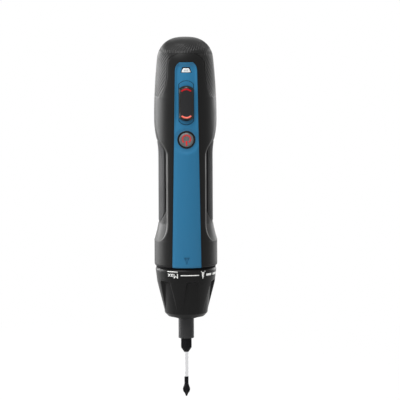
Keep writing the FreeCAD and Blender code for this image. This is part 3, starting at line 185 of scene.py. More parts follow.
strip_line = [(8.87, STRIP_LOW), (6.8, STRIP_BEND)]
strip_line += bow((6.8, STRIP_BEND), (6.7, 123.2), (4.0, STRIP_TOP), 10)[1:]
spine_line = sweep(18.0, 26.5, 18.0 - SPINE_HALF, 11.4, 270, 180, 14)
spine_line += [(SPINE_HALF, 69.0)]
spine_line += bow((SPINE_HALF, 69.0), (12.6, 72.5), (15.2, 76.0), 5)[1:]
spine_line += bow((15.2, 76.0), (BULB_HALF, 79.0), (BULB_HALF, 84.0), 5)[1:]
spine_line += [(BULB_HALF, 95.0), (BULB_HALF, SKIRT)]
spine_line += bow((BULB_HALF, SKIRT), (15.6, 102.5), (14.2, 106.2), 6)[1:]
spine_line += bow((14.2, 106.2), (11.7, 112.0), (ARCH_HALF, 119.0), 6)[1:]
spine_line += sweep(ARCH_HALF - ARCH_CORNER, CROWN - ARCH_CORNER, ARCH_CORNER, ARCH_CORNER, 0, 88, 12)
spine_line += [(ARCH_HALF - ARCH_CORNER, CROWN)]
grip_line = [(WAIST, GRIP_LOW), (SPINE_HALF, SLANT_LOW), (SPINE_HALF, SLANT_TOP), (GRIP_TOP_HALF, GRIP_TOP)]
print("spine line:", len(spine_line), "points, from", spine_line[0], "to", spine_line[-1])

# %% [markdown]
# The camera stands far off, a little above the middle of the tool and a touch to the left,
# and looks through a very long lens, which keeps the sides parallel. A millimetre is about
# 1.65 pixels of a 400 pixel picture, and the tool hangs slightly left of the middle.

# %% Camera
PICTURE = 400
SPAN = 242.0 * MM
LENS, SENSOR = 900.0, 36.0
LOOK_DOWN = radians(7.0)
SIDEWAYS = radians(-2.0)
ROLL = radians(-0.24)
ORIGIN_X, ORIGIN_Y = 185.7, 264.3
STRETCH = 1.01
PIXEL = SPAN / PICTURE


def put(name, data):
    obj = bpy.data.objects.new(name, data)
    bpy.context.scene.collection.objects.link(obj)
    return obj


aim = Vector(((PICTURE / 2 - ORIGIN_X) * PIXEL, 0.0, (ORIGIN_Y - PICTURE / 2) * PIXEL * STRETCH))
distance = LENS / SENSOR * SPAN
camera_data = bpy.data.cameras.new("camera")
camera_data.lens = LENS
camera_data.sensor_width = SENSOR
camera_data.clip_end = 4 * distance
camera = put("camera", camera_data)
turn = Matrix.Rotation(SIDEWAYS, 4, "Z") @ Matrix.Rotation(pi / 2 - LOOK_DOWN, 4, "X")
camera.location = aim + turn @ Vector((0.0, 0.0, distance))
camera.rotation_euler = (turn @ Matrix.Rotation(ROLL, 4, "Z")).to_euler()
bpy.context.scene.camera = camera
print("camera at", [round(v, 3) for v in camera.location])

# %% [markdown]
# The light is that of a white studio: a small lamp overhead, a soft one at the front on the
# left, two large panels behind the flanks that draw bright edges, the left one stronger, and a
# white room all round. The room is white to the eye and in reflections, but it lights the
# object only softly, which Light Path decides ray by ray.

# %% Light
AMBIENT = 0.2
LAMP_AIM = Vector((0.0, 0.0, 0.03))
LAMPS = [
    ("top_lamp", (0.0, -0.2, 0.8), 0.3, 0.25, 3.8),
    ("front_lamp", (-0.24, -0.34, 0.46), 0.4, 0.3, 2.7),
    ("left_lamp", (-0.8, 0.44, 0.06), 0.8, 0.8, 20.0),
    ("right_lamp", (0.7, 0.72, 0.06), 0.7, 0.8, 6.0),
]


def feed(tree, socket, value):
    """Set a socket to a plain number, or link it to another node's output."""
    if isinstance(value, (int, float)):
        socket.default_value = value
    else:
        tree.links.new(value, socket)


def wire(tree, *pairs):
    for source, target in pairs:
        tree.links.new(source, target)


def preset(node, values):
    for title, value in values.items():
        node.inputs[title].default_value = value
    return node


def calculate(tree, operation, a, b):
    node = tree.nodes.new("ShaderNodeMath")
    node.operation = operation
    for socket, value in zip(node.inputs, (a, b)):
        feed(tree, socket, value)
    return node.outputs[0]


def seen_white(tree, rest):
    """A value that is 1 for rays that the eye, mirrors and glass follow, and rest for others."""
    rays = tree.nodes.new("ShaderNodeLightPath").outputs
    sharp = calculate(tree, "MAXIMUM", rays["Is Camera Ray"], rays["Is Glossy Ray"])
    seen = calculate(tree, "MAXIMUM", sharp, rays["Is Transmission Ray"])
    spread = preset(tree.nodes.new("ShaderNodeMapRange"), {"To Min": rest})
    wire(tree, (seen, spread.inputs["Value"]))
    return spread.outputs["Result"]


for name, place, width, height, watts in LAMPS:
    light = bpy.data.lights.new(name, "AREA")
    light.shape = "RECTANGLE"
    light.size = width
    light.size_y = height
    light.energy = watts
    lamp = put(name, light)
    lamp.location = place
    lamp.rotation_euler = (LAMP_AIM - Vector(place)).to_track_quat("-Z", "Y").to_euler()
room = bpy.data.worlds.new("white_room")
room.use_nodes = True
sky = preset(room.node_tree.nodes["Background"], {"Color": (1.0, 1.0, 1.0, 1.0)})
wire(room.node_tree, (seen_white(room.node_tree, AMBIENT), sky.inputs["Strength"]))
bpy.context.scene.world = room
bpy.context.scene.view_settings.view_transform = "Standard"
print("lamps:", *[facts[0] for facts in LAMPS])

# %% [markdown]
# Real surfaces are never one flat colour. Three effects are shared by many finishes here, so
# each is a node group with its own inputs: a fine moulded grain, soft smudges from handling,
# and the turned lines that a lathe leaves on steel. A group only puts out numbers that vary
# over the surface. The shader itself stays in the material.

# %% Shared effects
def new_group(name, inputs, outputs):
    """A group with its inputs, its outputs and the place on the object."""
    group = bpy.data.node_groups.new(name, "ShaderNodeTree")
    for title in (*inputs, *outputs):
        side = "INPUT" if title in inputs else "OUTPUT"
        socket = group.interface.new_socket(title, in_out=side, socket_type="NodeSocketFloat")
        socket.default_value = inputs.get(title, 0.0)
    entry = group.nodes.new("NodeGroupInput").outputs
    leave = group.nodes.new("NodeGroupOutput").inputs
    return group, entry, leave, group.nodes.new("ShaderNodeTexCoord").outputs["Object"]


def noise(tree, scale, detail, vector, name):
    node = preset(tree.nodes.new("ShaderNodeTexNoise"), {"Detail": detail})
    node.label = name
    feed(tree, node.inputs["Scale"], scale)
    feed(tree, node.inputs["Vector"], vector)
    return node.outputs["Fac"]


grain_group, entry, leave, place = new_group("moulded_grain", {"Scale": 2600.0}, ["Height", "Tone"])
fine = noise(grain_group, entry["Scale"], 2.0, place, "fine grain")
broad = noise(grain_group, 90.0, 3.0, place, "broad tone")
wire(grain_group, (fine, leave["Height"]), (broad, leave["Tone"]))

smudge_group, entry, leave, place = new_group("handling_smudges", {"Low": 0.45, "High": 0.75}, ["Mask"])
patch = noise(smudge_group, 55.0, 5.0, place, "rub marks")
span = smudge_group.nodes.new("ShaderNodeMapRange")
wire(smudge_group, (patch, span.inputs["Value"]), (entry["Low"], span.inputs["From Min"]),
     (entry["High"], span.inputs["From Max"]), (span.outputs["Result"], leave["Mask"]))

lathe_group, entry, leave, place = new_group("turned_lines", {"Pitch": 5200.0}, ["Height"])
split = lathe_group.nodes.new("ShaderNodeSeparateXYZ")
join = lathe_group.nodes.new("ShaderNodeCombineXYZ")
wire(lathe_group, (place, split.inputs[0]), (split.outputs["Z"], join.inputs["Z"]))
lines = noise(lathe_group, entry["Pitch"], 2.0, join.outputs[0], "tool lines")
wire(lathe_group, (lines, leave["Height"]))
print("effects:", grain_group.name, smudge_group.name, lathe_group.name)

# %% [markdown]
# A finish is made from a few plain facts: its colour, how much lighter it gets where it is
# rubbed, how rough and how metallic it is, and how deep its grain goes. One function turns
# those facts into a material, so all the finishes of the tool stay comparable.

# %% Finish maker
SMUDGE = {"Low": 0.42, "High": 0.78}
PALE, PALE_PULL = 0.55, 0.45
POLISH, GLOSSIEST = 0.1, 0.05
RELIEF = 0.6
finish = {}


def add_group(tree, group, values):
    node = tree.nodes.new("ShaderNodeGroup")
    node.node_tree = group
    return preset(node, values)


def rubbed(colour, amount):
    return tuple(min(1.0, c + amount * (PALE - PALE_PULL * c)) for c in colour)


def make_finish(name, colour, rough, metal, grain, depth, rub, shine=0.5, effect=None):
    material = bpy.data.materials.new(name)
    material.use_nodes = True
    tree = material.node_tree
    shader = preset(tree.nodes["Principled BSDF"], {"Metallic": metal, "Specular IOR Level": shine})
    texture = add_group(tree, grain_group, {"Scale": grain})
    smudge = add_group(tree, smudge_group, SMUDGE)
    tint = tree.nodes.new("ShaderNodeMix")
    tint.data_type = "RGBA"
    preset(tint, {"A": (*colour, 1.0), "B": (*rubbed(colour, rub), 1.0)})
    gloss = tree.nodes.new("ShaderNodeMapRange")
    preset(gloss, {"To Min": rough, "To Max": max(GLOSSIEST, rough - POLISH)})
    relief = preset(tree.nodes.new("ShaderNodeBump"), {"Strength": RELIEF, "Distance": depth * MM})
    lifted = add_group(tree, effect, {}) if effect else texture
    wire(tree, (texture.outputs["Tone"], tint.inputs["Factor"]),
         (tint.outputs["Result"], shader.inputs["Base Color"]),
         (smudge.outputs["Mask"], gloss.inputs["Value"]),
         (gloss.outputs["Result"], shader.inputs["Roughness"]),
         (lifted.outputs["Height"], relief.inputs["Height"]),
         (relief.outputs["Normal"], shader.inputs["Normal"]))
    finish[name] = material


# Moulded or painted: name, colour, roughness, scale and depth of the grain, rubbing, shine
MOULDED = [
    ("shell_black", (0.005, 0.005, 0.005), 0.46, 2600.0, 0.03, 0.004, 0.13),
    ("dome_black", (0.005, 0.005, 0.005), 0.42, 2600.0, 0.02, 0.004, 0.18),
    ("grip_rubber", (0.012, 0.012, 0.013), 0.56, 1800.0, 0.05, 0.01, 0.13),
    ("strip_blue", (0.014, 0.132, 0.260), 0.44, 3000.0, 0.02, 0.01, 0.25),
    ("window_white", (0.66, 0.68, 0.69), 0.3, 3000.0, 0.01, 0.04, 0.5),
    ("knob_grey", (0.012, 0.012, 0.013), 0.46, 3200.0, 0.02, 0.01, 0.15),
    ("button_grey", (0.085, 0.088, 0.09), 0.30, 3200.0, 0.02, 0.03, 0.4),
    ("ring_black", (0.005, 0.005, 0.005), 0.36, 2400.0, 0.02, 0.004, 0.13),
    ("nose_black", (0.004, 0.004, 0.004), 0.45, 2400.0, 0.03, 0.004, 0.13),
    ("knob_black", (0.003, 0.003, 0.003), 0.22, 3200.0, 0.01, 0.003, 0.26),
    # painted shade: the near-black colour of the ring that stands for the shadow in the joint's gap
    ("gap_shade_black", (0.002, 0.002, 0.002), 0.7, 2600.0, 0.01, 0.002, 0.04),
    ("mark_grey", (0.30, 0.31, 0.32), 0.5, 2600.0, 0.01, 0.03, 0.4),
    ("mark_lit", (0.62, 0.012, 0.012), 0.45, 2600.0, 0.01, 0.02, 0.1),
    ("mark_red", (0.42, 0.004, 0.010), 0.45, 2600.0, 0.01, 0.01, 0.08),
    ("mark_salmon", (0.80, 0.13, 0.085), 0.45, 2600.0, 0.01, 0.02, 0.4),
    ("mark_white", (0.84, 0.84, 0.82), 0.5, 2600.0, 0.01, 0.03, 0.3),
    ("bit_steel", (0.004, 0.004, 0.005), 0.44, 2400.0, 0.01, 0.003, 0.07),
    ("bell_plastic", (0.03, 0.03, 0.03), 0.5, 2000.0, 0.03, 0.03, 0.4),
    ("lead_red", (0.45, 0.02, 0.02), 0.45, 2600.0, 0.02, 0.05, 0.4),
    ("battery_wrap", (0.05, 0.22, 0.12), 0.35, 1500.0, 0.01, 0.05, 0.5),
    ("board_green", (0.015, 0.11, 0.05), 0.4, 1500.0, 0.02, 0.05, 0.5),
    ("led_green", (0.25, 0.65, 0.30), 0.25, 2600.0, 0.01, 0.05, 0.5),
]
# Bare metal: name, colour, roughness, scale and depth of the grain
METAL = [
    ("screw_steel", (0.30, 0.31, 0.32), 0.35, 3000.0, 0.01),
    ("case_zinc", (0.42, 0.43, 0.44), 0.5, 1200.0, 0.03),
    ("gear_steel", (0.45, 0.45, 0.46), 0.35, 2400.0, 0.01),
    ("spring_steel", (0.40, 0.41, 0.43), 0.3, 2400.0, 0.01),
    ("bush_bronze", (0.50, 0.33, 0.16), 0.4, 1800.0, 0.02),
    ("contact_brass", (0.66, 0.50, 0.22), 0.3, 2400.0, 0.01),
    ("core_steel", (0.25, 0.26, 0.27), 0.5, 2400.0, 0.02),
    ("winding_copper", (0.58, 0.24, 0.10), 0.35, 2400.0, 0.02),
    ("can_steel", (0.48, 0.49, 0.50), 0.38, 1800.0, 0.01),
    ("port_steel", (0.50, 0.51, 0.52), 0.3, 2600.0, 0.01),
]
METAL_RUB = 0.1
for name, colour, rough, grain, depth, rub, shine in MOULDED:
    make_finish(name, colour, rough, 0.0, grain, depth, rub, shine)
for name, colour, rough, grain, depth in METAL:
    make_finish(name, colour, rough, 1.0, grain, depth, METAL_RUB)
make_finish("magnet_dark", (0.07, 0.07, 0.075), 0.55, 0.6, 1200.0, 0.03, 0.05)
make_finish("spindle_steel", (0.034, 0.034, 0.035), 0.34, 0.1, 2400.0, 0.004, 0.01, 0.08, lathe_group)
make_finish("bit_bright", (0.66, 0.66, 0.67), 0.34, 1.0, 2400.0, 0.003, 0.05, 0.5, lathe_group)
print("finishes:", len(finish))

# %% [markdown]
# The frame's own parts keep their shapes where nothing finer is needed, inside the housing
# for example. Each gets the finish of its material slot from the record.

# %% Finish the inner parts
for part in frame["record"]["subparts"]:
    node = frame["nodes"][part["node"]]
    node.data.materials.clear()
    node.data.materials.append(finish[part["material_slot"]])
print("inner parts finished:", len(frame["nodes"]))

# %% [markdown]
# A thin plastic part is a skin with an underside. The skin is a grid of points, row above
# row. Its underside lies straight below it, and a wall closes the rim. A bar is a grid that
# closes round an axis and has two end faces, and a hoop closes along its section as well. A
# bevel then rounds every hard edge by a fraction of a millimetre, because no moulded edge is
# truly sharp.

# %% Skin tools
HARD_ANGLE = radians(38.0)


def grid(bm, rows, wrap=False, skip=None):
    """Faces between rows of points. Wrap closes each row, and skip leaves faces out."""
    knots = [[bm.verts.new(point) for point in row] for row in rows]
    for i in range(len(rows) - 1):
        count = len(rows[i])
        for j in range(count if wrap else count - 1):
            if skip and skip(i, j):
                continue
            k = (j + 1) % count
            bm.faces.new((knots[i][j], knots[i][k], knots[i + 1][k], knots[i + 1][j]))
    loose = [v for v in bm.verts if not v.link_faces]
    bmesh.ops.delete(bm, geom=loose, context="VERTS")
    return knots


def thicken(bm, inner):
    """Give a skin its underside, where inner says which point lies below another."""
    outer = list(bm.faces)
    rim = [e.verts[:] for e in bm.edges if len(e.link_faces) == 1]
    below = {v: bm.verts.new(inner(v.co)) for v in list(bm.verts)}
    for face in outer:
        bm.faces.new([below[v] for v in reversed(face.verts)])
    for a, b in rim:
        bm.faces.new((a, b, below[b], below[a]))
    bmesh.ops.recalc_face_normals(bm, faces=bm.faces[:])


def to_radius(co, radius):
    scale = radius / hypot(co.x, co.y)
    return Vector((co.x * scale, co.y * scale, co.z))


def new_object(name, bm, coat):
    bmesh.ops.recalc_face_normals(bm, faces=bm.faces[:])
    bm.transform(Matrix.Scale(MM, 4))
    mesh = bpy.data.meshes.new(name)
    bm.to_mesh(mesh)
    bm.free()
    mesh.materials.append(finish[coat])
    return put(name, mesh)


def skin(name, rows, inner, coat):
    bm = bmesh.new()
    grid(bm, rows)
    thicken(bm, inner)
    return new_object(name, bm, coat)


def bar(name, rows, coat):
    bm = bmesh.new()
    loops = grid(bm, rows, wrap=True)
    bm.faces.new(loops[0])
    bm.faces.new(loops[-1])
    return new_object(name, bm, coat)


def hoop(name, sections, coat):
    bm = bmesh.new()
    for rows in sections:
        grid(bm, rows + rows[:1], wrap=True)
    bmesh.ops.remove_doubles(bm, verts=bm.verts[:], dist=1e-5)
    return new_object(name, bm, coat)


def soften(obj, width, segments):
    for polygon in obj.data.polygons:
        polygon.use_smooth = True
    if width:
        bevel = obj.modifiers.new("soft_edges", "BEVEL")
        bevel.width = width * MM
        bevel.segments = segments
        bevel.limit_method = "ANGLE"
        bevel.angle_limit = HARD_ANGLE
    normals = obj.modifiers.new("even_shading", "WEIGHTED_NORMAL")
    normals.keep_sharp = True
    return obj


def dress(obj, body, slot, *nodes, soft=0.0, segments=2):
    soften(obj, soft, segments)
    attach(obj, body)
    if nodes:
        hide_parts(*nodes)
    print("made", obj.name, "with", len(obj.data.polygons), "faces")
    return obj


print("edges over", round(degrees(HARD_ANGLE)), "degrees are rounded")

# %% [markdown]
# Screw holes, the button's hole, the port and the openings of the strip are real cuts. A cutter
# is a plain solid that the Boolean modifier takes away from a part. The result is kept as the
# part's own mesh and the cutter is deleted, so that a bevel can round the new edges too.

# %% Cutting tools
BORE_SIDES = 40


def circle(x, z, radius, sides):
    return sweep(x, z, radius, radius, 0.0, 360.0 - 360.0 / sides, sides - 1)


def prism(name, outline, near, far):
    """A cutter with the given outline in x and z, from near to far along Y."""
    return bar(name, [[(x, y, z) for x, z in outline] for y in (near, far)], "shell_black")


def bored(name, x, z, radius, near, far):
    """A round cutter along Y."""
    return prism(name, circle(x, z, radius, BORE_SIDES), near, far)


def final_mesh(obj):
    """The mesh of an object after its modifiers."""
    bpy.context.view_layer.update()
    return bpy.data.meshes.new_from_object(obj.evaluated_get(bpy.context.evaluated_depsgraph_get()))


def carve(obj, *cutters):
    for cutter in cutters:
        cut = obj.modifiers.new("cut", "BOOLEAN")
        cut.operation = "DIFFERENCE"
        cut.solver = "EXACT"
        cut.object = cutter
    made = final_mesh(obj)
    obj.modifiers.clear()
    obj.data = made
    for cutter in cutters:
        bpy.data.objects.remove(cutter)
    return obj


print("round cutters have", BORE_SIDES, "sides")

# %% [markdown]
# The front shell carries the spine. Each row of its grid is one line round the front, from
# the bed of the strip over the spine, down the spine's wall and along the waist to the
# parting line at the side. The beds for the strip, the grip and the dome cap are steps in
# that line, so the neighbours sit in the shell as they do on the real tool.

# %% Front shell
BED, GRIP_BED, DOME_BED = 1.35, 1.0, 1.3
EDGE_ROUND, FOOT_ROUND = 1.15, 0.45
EDGE_MARGIN, SIDE_MARGIN, BORDER_MARGIN, FOOT_MARGIN = 0.35, 0.9, 0.4, 0.3
STEP_RUN = 0.05
SEAM, SHELL_WALL, SHELL_SOFT = 0.06, 2.9, 0.22
BUTTON_Z, BUTTON_BORE = 78.1, 4.75
FRONT_CUT = (-30.0, -10.0)
HEM = [(0.0, 0.95), (0.2, 0.52), (0.5, 0.22), (0.9, 0.06), (1.3, 0.0)]


def hem(z):
    """How far the rounded lower edge of the collar lies inside its radius."""
    return across([(inset, height) for height, inset in HEM], z)


def on_round(radius, angle):
    return (radius * sin(angle), -radius * cos(angle))


def on_front(radius, x):
    return (x, -sqrt(max(radius * radius - x * x, 0.0)))


def lean(x, radius):
    return asin(max(-1.0, min(1.0, x / radius)))


def front_half(z):
    """Half a row of the front shell, from the middle to the parting line."""
    outer = barrel(z) - hem(z)
    under_dome = z > SKIRT
    low = outer if z > BULB_LOW else waist(z) - hem(z)
    bed = BED if z < STRIP_TOP else 0.0
    edge = min(across(spine_line, z), outer - EDGE_MARGIN)
    half = across(strip_line, z)
    if z > CROWN:
        outer -= DOME_BED
    foot = outer - DOME_BED if under_dome and z < CROWN else min(low, outer)
    points = [on_front(outer - bed, x) for x in evenly(0.0, half, 6)]
    start = lean(half + STEP_RUN, outer)
    corner = lean(edge, outer)
    stop = corner - EDGE_ROUND / outer
    points += [on_round(outer, angle) for angle in evenly(start, stop, 9)]
    top = on_round(outer, corner)
    base = on_front(foot, edge)
    middle = tuple((a + b) / 2 for a, b in zip(top, base))
    foot_angle = lean(edge, foot) + FOOT_ROUND / foot
    side = pi / 2 - SEAM / outer
    foot_angle = min(foot_angle, side - SIDE_MARGIN / foot)
    points += bow(on_round(outer, stop), top, middle, 5)[1:]
    points += bow(middle, base, on_round(foot, foot_angle), 3)[1:]
    in_grip = GRIP_LOW < z < GRIP_TOP
    border = side - BORDER_MARGIN / foot
    if in_grip:
        border = min(border, max(lean(across(grip_line, z), foot), foot_angle + FOOT_MARGIN / foot))
    points += [on_round(foot, angle) for angle in evenly(foot_angle, border, 4)[1:]]
    sunk = foot - (GRIP_BED if in_grip else 0.0)
    points += [on_round(sunk, angle) for angle in evenly(border + STEP_RUN / foot, side, 10)]
    return points


def front_row(z):
    half = front_half(z)
    left = [(-x, y) for x, y in reversed(half[1:])]
    return [(x, y, z) for x, y in left + half]


STEP = 0.03
heights = [height for height, _ in HEM] + steps(3.0, 14.0, 2.2) + steps(15.0, 28.0, 0.65)
heights += steps(29.5, 68.0, 2.2) + steps(69.0, 90.0, 0.75) + steps(92.0, SKIRT - STEP, 1.7)
heights += steps(SKIRT + STEP, 117.0, 1.5) + steps(118.4, STRIP_TOP - STEP, 0.9)
heights += steps(STRIP_TOP + STEP, CROWN - 1.5, 0.7) + steps(CROWN - 1.2, CROWN - STEP, 0.2)
heights += [CROWN + STEP, CROWN + 1.1]
heights += [GRIP_LOW - STEP, GRIP_LOW + STEP, GRIP_TOP - STEP, GRIP_TOP + STEP]
heights.sort()


def shell_inner(co):
    wall = SHELL_WALL + (DOME_BED if co.z > SKIRT else 0.0)
    return to_radius(co, min(waist(co.z), barrel(co.z)) - wall)


front_shell = skin("front_shell_skin", [front_row(z) for z in heights], shell_inner, "shell_black")
carve(front_shell, bored("button_bore", 0.0, BUTTON_Z, BUTTON_BORE, *FRONT_CUT))
dress(front_shell, "housing", "shell_black", "front_shell", soft=SHELL_SOFT)

# %% [markdown]
# The rear shell follows the waist all round the back, with a bed for the rubber. Its four
# screw holes are cut with the Boolean modifier, which is the plain way to make a round hole
# in a curved wall. The two lower holes also go through the rubber.

# %% Rear shell
SCREW_HOLE, SCREW_SEAT, BACK_CUT = 2.45, 5.0, 25.0
SCREWS_HIGH, SCREWS_LOW = (13.3, 84.0), (9.6, 54.0)
REAR_COLUMNS = 64


def rear_row(z):
    radius = waist(z) - hem(z) - (GRIP_BED if GRIP_LOW < z < GRIP_TOP else 0.0)
    radius -= DOME_BED if z > SKIRT else 0.0
    side = pi / 2 + SEAM / radius
    angles = evenly(side, 2 * pi - side, REAR_COLUMNS)
    return [(*on_round(radius, angle), z) for angle in angles]


rear_heights = [height for height, _ in HEM] + steps(3.0, 15.0, 3.0) + steps(15.6, GRIP_LOW - STEP, 0.8)
rear_heights += steps(GRIP_LOW + STEP, GRIP_TOP - STEP, 3.0) + steps(GRIP_TOP + STEP, 90.0, 1.0)
rear_heights += steps(92.0, SKIRT - STEP, 2.0) + [SKIRT + STEP, SKIRT + 3.0]
rear_shell = skin("rear_shell_skin", [rear_row(z) for z in rear_heights], shell_inner, "shell_black")


def screw_bores(places):
    spots = [(side * x, z) for x, z in places for side in (-1, 1)]
    return [bored("bore", x, z, SCREW_HOLE, SCREW_SEAT, BACK_CUT) for x, z in spots]


carve(rear_shell, *screw_bores([SCREWS_HIGH, SCREWS_LOW]))
dress(rear_shell, "housing", "shell_black", "rear_shell", soft=SHELL_SOFT)

# %% [markdown]
# The rubber grip is a sleeve with hundreds of small studs. One point in four of a fine grid
# is lifted, which gives a neat diamond stud at every second crossing for very few faces. The
# slanted ends beside the spine are cut off with flat planes afterwards, so the pattern stays
# regular up to the border.

# %% Grip
STUD_GAP, STUD_RISE, STUD_MARGIN = 0.62, 0.34, 2
GRIP_GAP, GRIP_GROOVE, SLANT_GAP = 0.4, 1.2, 0.55
GRIP_SINK, GRIP_WALL = 0.28, 0.62
GRIP_ENDS = (GRIP_LOW + GRIP_GAP, GRIP_TOP - GRIP_GAP)
FRONT_OF = -0.2


def grip_row(z, i, count, last):
    base = waist(z) - GRIP_SINK
    start = lean(SPINE_HALF + GRIP_GROOVE, base)
    row = []
    for j, angle in enumerate(evenly(start, 2 * pi - start, count)):
        inside = STUD_MARGIN < i < last - STUD_MARGIN and STUD_MARGIN < j < count - STUD_MARGIN
        stud = inside and i % 2 == 1 and j % 2 == 1
        row.append((*on_round(base + (STUD_RISE if stud else 0.0), angle), z))
    return row


grip_heights = steps(*GRIP_ENDS, STUD_GAP)
grip_start = lean(SPINE_HALF + GRIP_GROOVE, WAIST)
grip_count = 2 * round((pi - grip_start) * WAIST / STUD_GAP)
bm = bmesh.new()
grid(bm, [grip_row(z, i, grip_count, len(grip_heights) - 1) for i, z in enumerate(grip_heights)])
for z0, z1 in zip(GRIP_ENDS, (SLANT_LOW, SLANT_TOP)):
    x0, x1 = waist(z0) - GRIP_SINK, SPINE_HALF + SLANT_GAP
    for side in (-1, 1):
        middles = [(f, f.calc_center_median()) for f in bm.faces]
        front_faces = [f for f, at in middles if at.y < FRONT_OF and at.x * side > 0]
        front = list({e for f in front_faces for e in (*f.verts, *f.edges, f)})
        across_line = Vector((z1 - z0, 0.0, x0 - x1)).normalized()
        if across_line.x < 0:
            across_line = -across_line
        normal = Vector((-side * across_line.x, 0.0, -across_line.z))
        point = Vector((side * x0, 0.0, z0))
        bmesh.ops.bisect_plane(bm, geom=front, plane_co=point, plane_no=normal, clear_outer=True)
thicken(bm, lambda co: to_radius(co, min(waist(co.z), hypot(co.x, co.y)) - GRIP_WALL))
grip = new_object("grip_rubber_sleeve", bm, "grip_rubber")
carve(grip, *screw_bores([SCREWS_LOW]))
dress(grip, "housing", "grip_rubber", "grip_sleeve")

# %% [markdown]
# The dome cap closes the top. Its grid runs right round and over the crown, and the tongue of
# the front shell is left open below the arch. Fine slanted ribs are moulded into it for a
# firm hold. They are real waves in the grid, so the grid is as fine as a quarter of a wave.
# The charging port at the back is a slot with round ends.

# %% Dome cap
DOME_GAP = 0.12
SIDE_COLUMNS, BACK_COLUMNS, ARCH_COLUMNS = 70, 84, 12
RIBS, RIB_DEPTH, RIB_LEAN = 56, 0.26, 0.84
RIB_WAVE = RIB_LEAN * RIBS / BULB
FADE_ARCH, FADE_SKIRT, FADE_CROWN = (0.15, 0.9), (0.3, 1.2), (8.0, 13.0)
DOME_WALL, DOME_ROOF, DOME_LEAST, DOME_SOFT = 1.2, 1.3, 0.6, 0.3
PORT_Z, PORT_HALF, PORT_HIGH, PORT_DEEP = 129.3, 4.75, 1.9, 5.0


def dome_row(z, radius, length):
    open_angle = lean(across(spine_line, min(z, CROWN)) + DOME_GAP, radius)
    half = evenly(0.0, open_angle, ARCH_COLUMNS)[:-1]
    half += evenly(open_angle, pi / 2, SIDE_COLUMNS)[:-1] + evenly(pi / 2, pi, BACK_COLUMNS)
    on_crown = smooth(SHOULDER - 1, SHOULDER, z)
    outward = mix(1.0, (radius - CROWN_FLAT) / CROWN_BEND, on_crown)
    upward = on_crown * (z - CROWN_CENTRE) / CROWN_BEND
    row = []
    for angle in [-a for a in reversed(half[1:-1])] + half:
        from_arch = max((abs(angle) - open_angle) * radius, z - CROWN)
        fade = smooth(*FADE_ARCH, from_arch) * smooth(*FADE_SKIRT, z - SKIRT) * smooth(*FADE_CROWN, radius)
        sink = RIB_DEPTH * fade * (0.5 - 0.5 * cos(RIBS * angle - RIB_WAVE * length))
        row.append((*on_round(radius - sink * outward, angle), z - sink * upward))
    return row


dome_profile = [(z, barrel(z)) for z in steps(SKIRT + DOME_GAP, CROWN - 1.5, 0.42)]
dome_profile += [(z, barrel(z)) for z in steps(CROWN - 1.3, CROWN, 0.16)]
arch_row = len(dome_profile) - 1
dome_profile += [(CROWN + DOME_GAP, barrel(CROWN + DOME_GAP))]
for angle in steps(31.0, 89.0, 1.6):
    up, out = sin(radians(angle)), cos(radians(angle))
    dome_profile.append((CROWN_CENTRE + CROWN_BEND * up, CROWN_FLAT + CROWN_BEND * out))
dome_profile += [(TOP, r) for r in (2.8, 1.9, 1.0)]
row_length = 2 * (ARCH_COLUMNS + SIDE_COLUMNS + BACK_COLUMNS)
front_column = row_length // 2 - 1


def in_arch(i, j):
    return i < arch_row + 1 and abs(j + 0.5 - front_column) < ARCH_COLUMNS


lengths = [0.0]
for before, after in zip(dome_profile, dome_profile[1:]):
    lengths.append(lengths[-1] + dist(before, after))
dome_rows = [dome_row(z, radius, length) for (z, radius), length in zip(dome_profile, lengths)]
bm = bmesh.new()
knots = grid(bm, dome_rows, wrap=True, skip=in_arch)
bm.faces.new(knots[-1])


def dome_inner(co):
    radius = hypot(co.x, co.y)
    low = min(co.z, TOP - DOME_ROOF)
    return to_radius(Vector((co.x, co.y, low)), max(radius - DOME_WALL, radius * DOME_LEAST))


thicken(bm, dome_inner)
dome = new_object("dome_cap_skin", bm, "dome_black")
port = sweep(PORT_HALF - PORT_HIGH, PORT_Z, PORT_HIGH, PORT_HIGH, -90, 90, 12)
port += sweep(PORT_HIGH - PORT_HALF, PORT_Z, PORT_HIGH, PORT_HIGH, 90, 270, 12)
carve(dome, prism("port_cut", port, PORT_DEEP, BACK_CUT))
dress(dome, "housing", "dome_black", "dome_cap", soft=DOME_SOFT)

# %% [markdown]
# The blue strip is a curved plate that lies flush in its bed. Its upper half is a shallow tray
# with a rim, and the button stands in a round dish. The direction switch runs in a track that
# is cut right through the strip, and a plate of the same blue lies in it with a thin dark gap
# round it. The window and the arrow at the foot are slanted cuts. The plate and most cutters
# are made by one function, since each is a patch of the barrel between two depths.

# %% Strip
STRIP_GAP, STRIP_SINK, STRIP_SOFT = 0.1, 0.04, 0.2
SIDE_RIM, SIDE_END, TOP_RIM, TOP_END, TRAY_DEPTH = 0.4, 2.2, 0.6, 3.2, 1.0
TRAY_START, TRAY_FULL = 80.0, 94.0
DISH_Z, DISH_RADIUS, DISH_DEPTH = 77.3, 7.9, 0.95
TRACK_LOW, TRACK_TOP, TRACK_HALF, TRACK_END = 87.0, 114.0, 4.65, 5.6
TRACK_DEPTH, TRACK_FLOOR, TRACK_GAP, TRACK_SOFT = 1.5, 1.12, 0.36, 0.08
WINDOW_LOW, WINDOW_TOP, WINDOW_DEPTH = 118.8, 121.5, 3.0
WINDOW_CUT = [(WINDOW_LOW - 0.2, 3.4), (WINDOW_TOP + 0.55, 2.2)]
ARROW_CUT, ARROW_DEPTH = [(2.5, 0.12), (6.6, 1.75)], 0.7
BUTTON_RIM = 5.5
CUT_RISE = 2.0


def on_barrel(x, z, lift):
    return (*on_front(barrel(z) + lift, x), z)


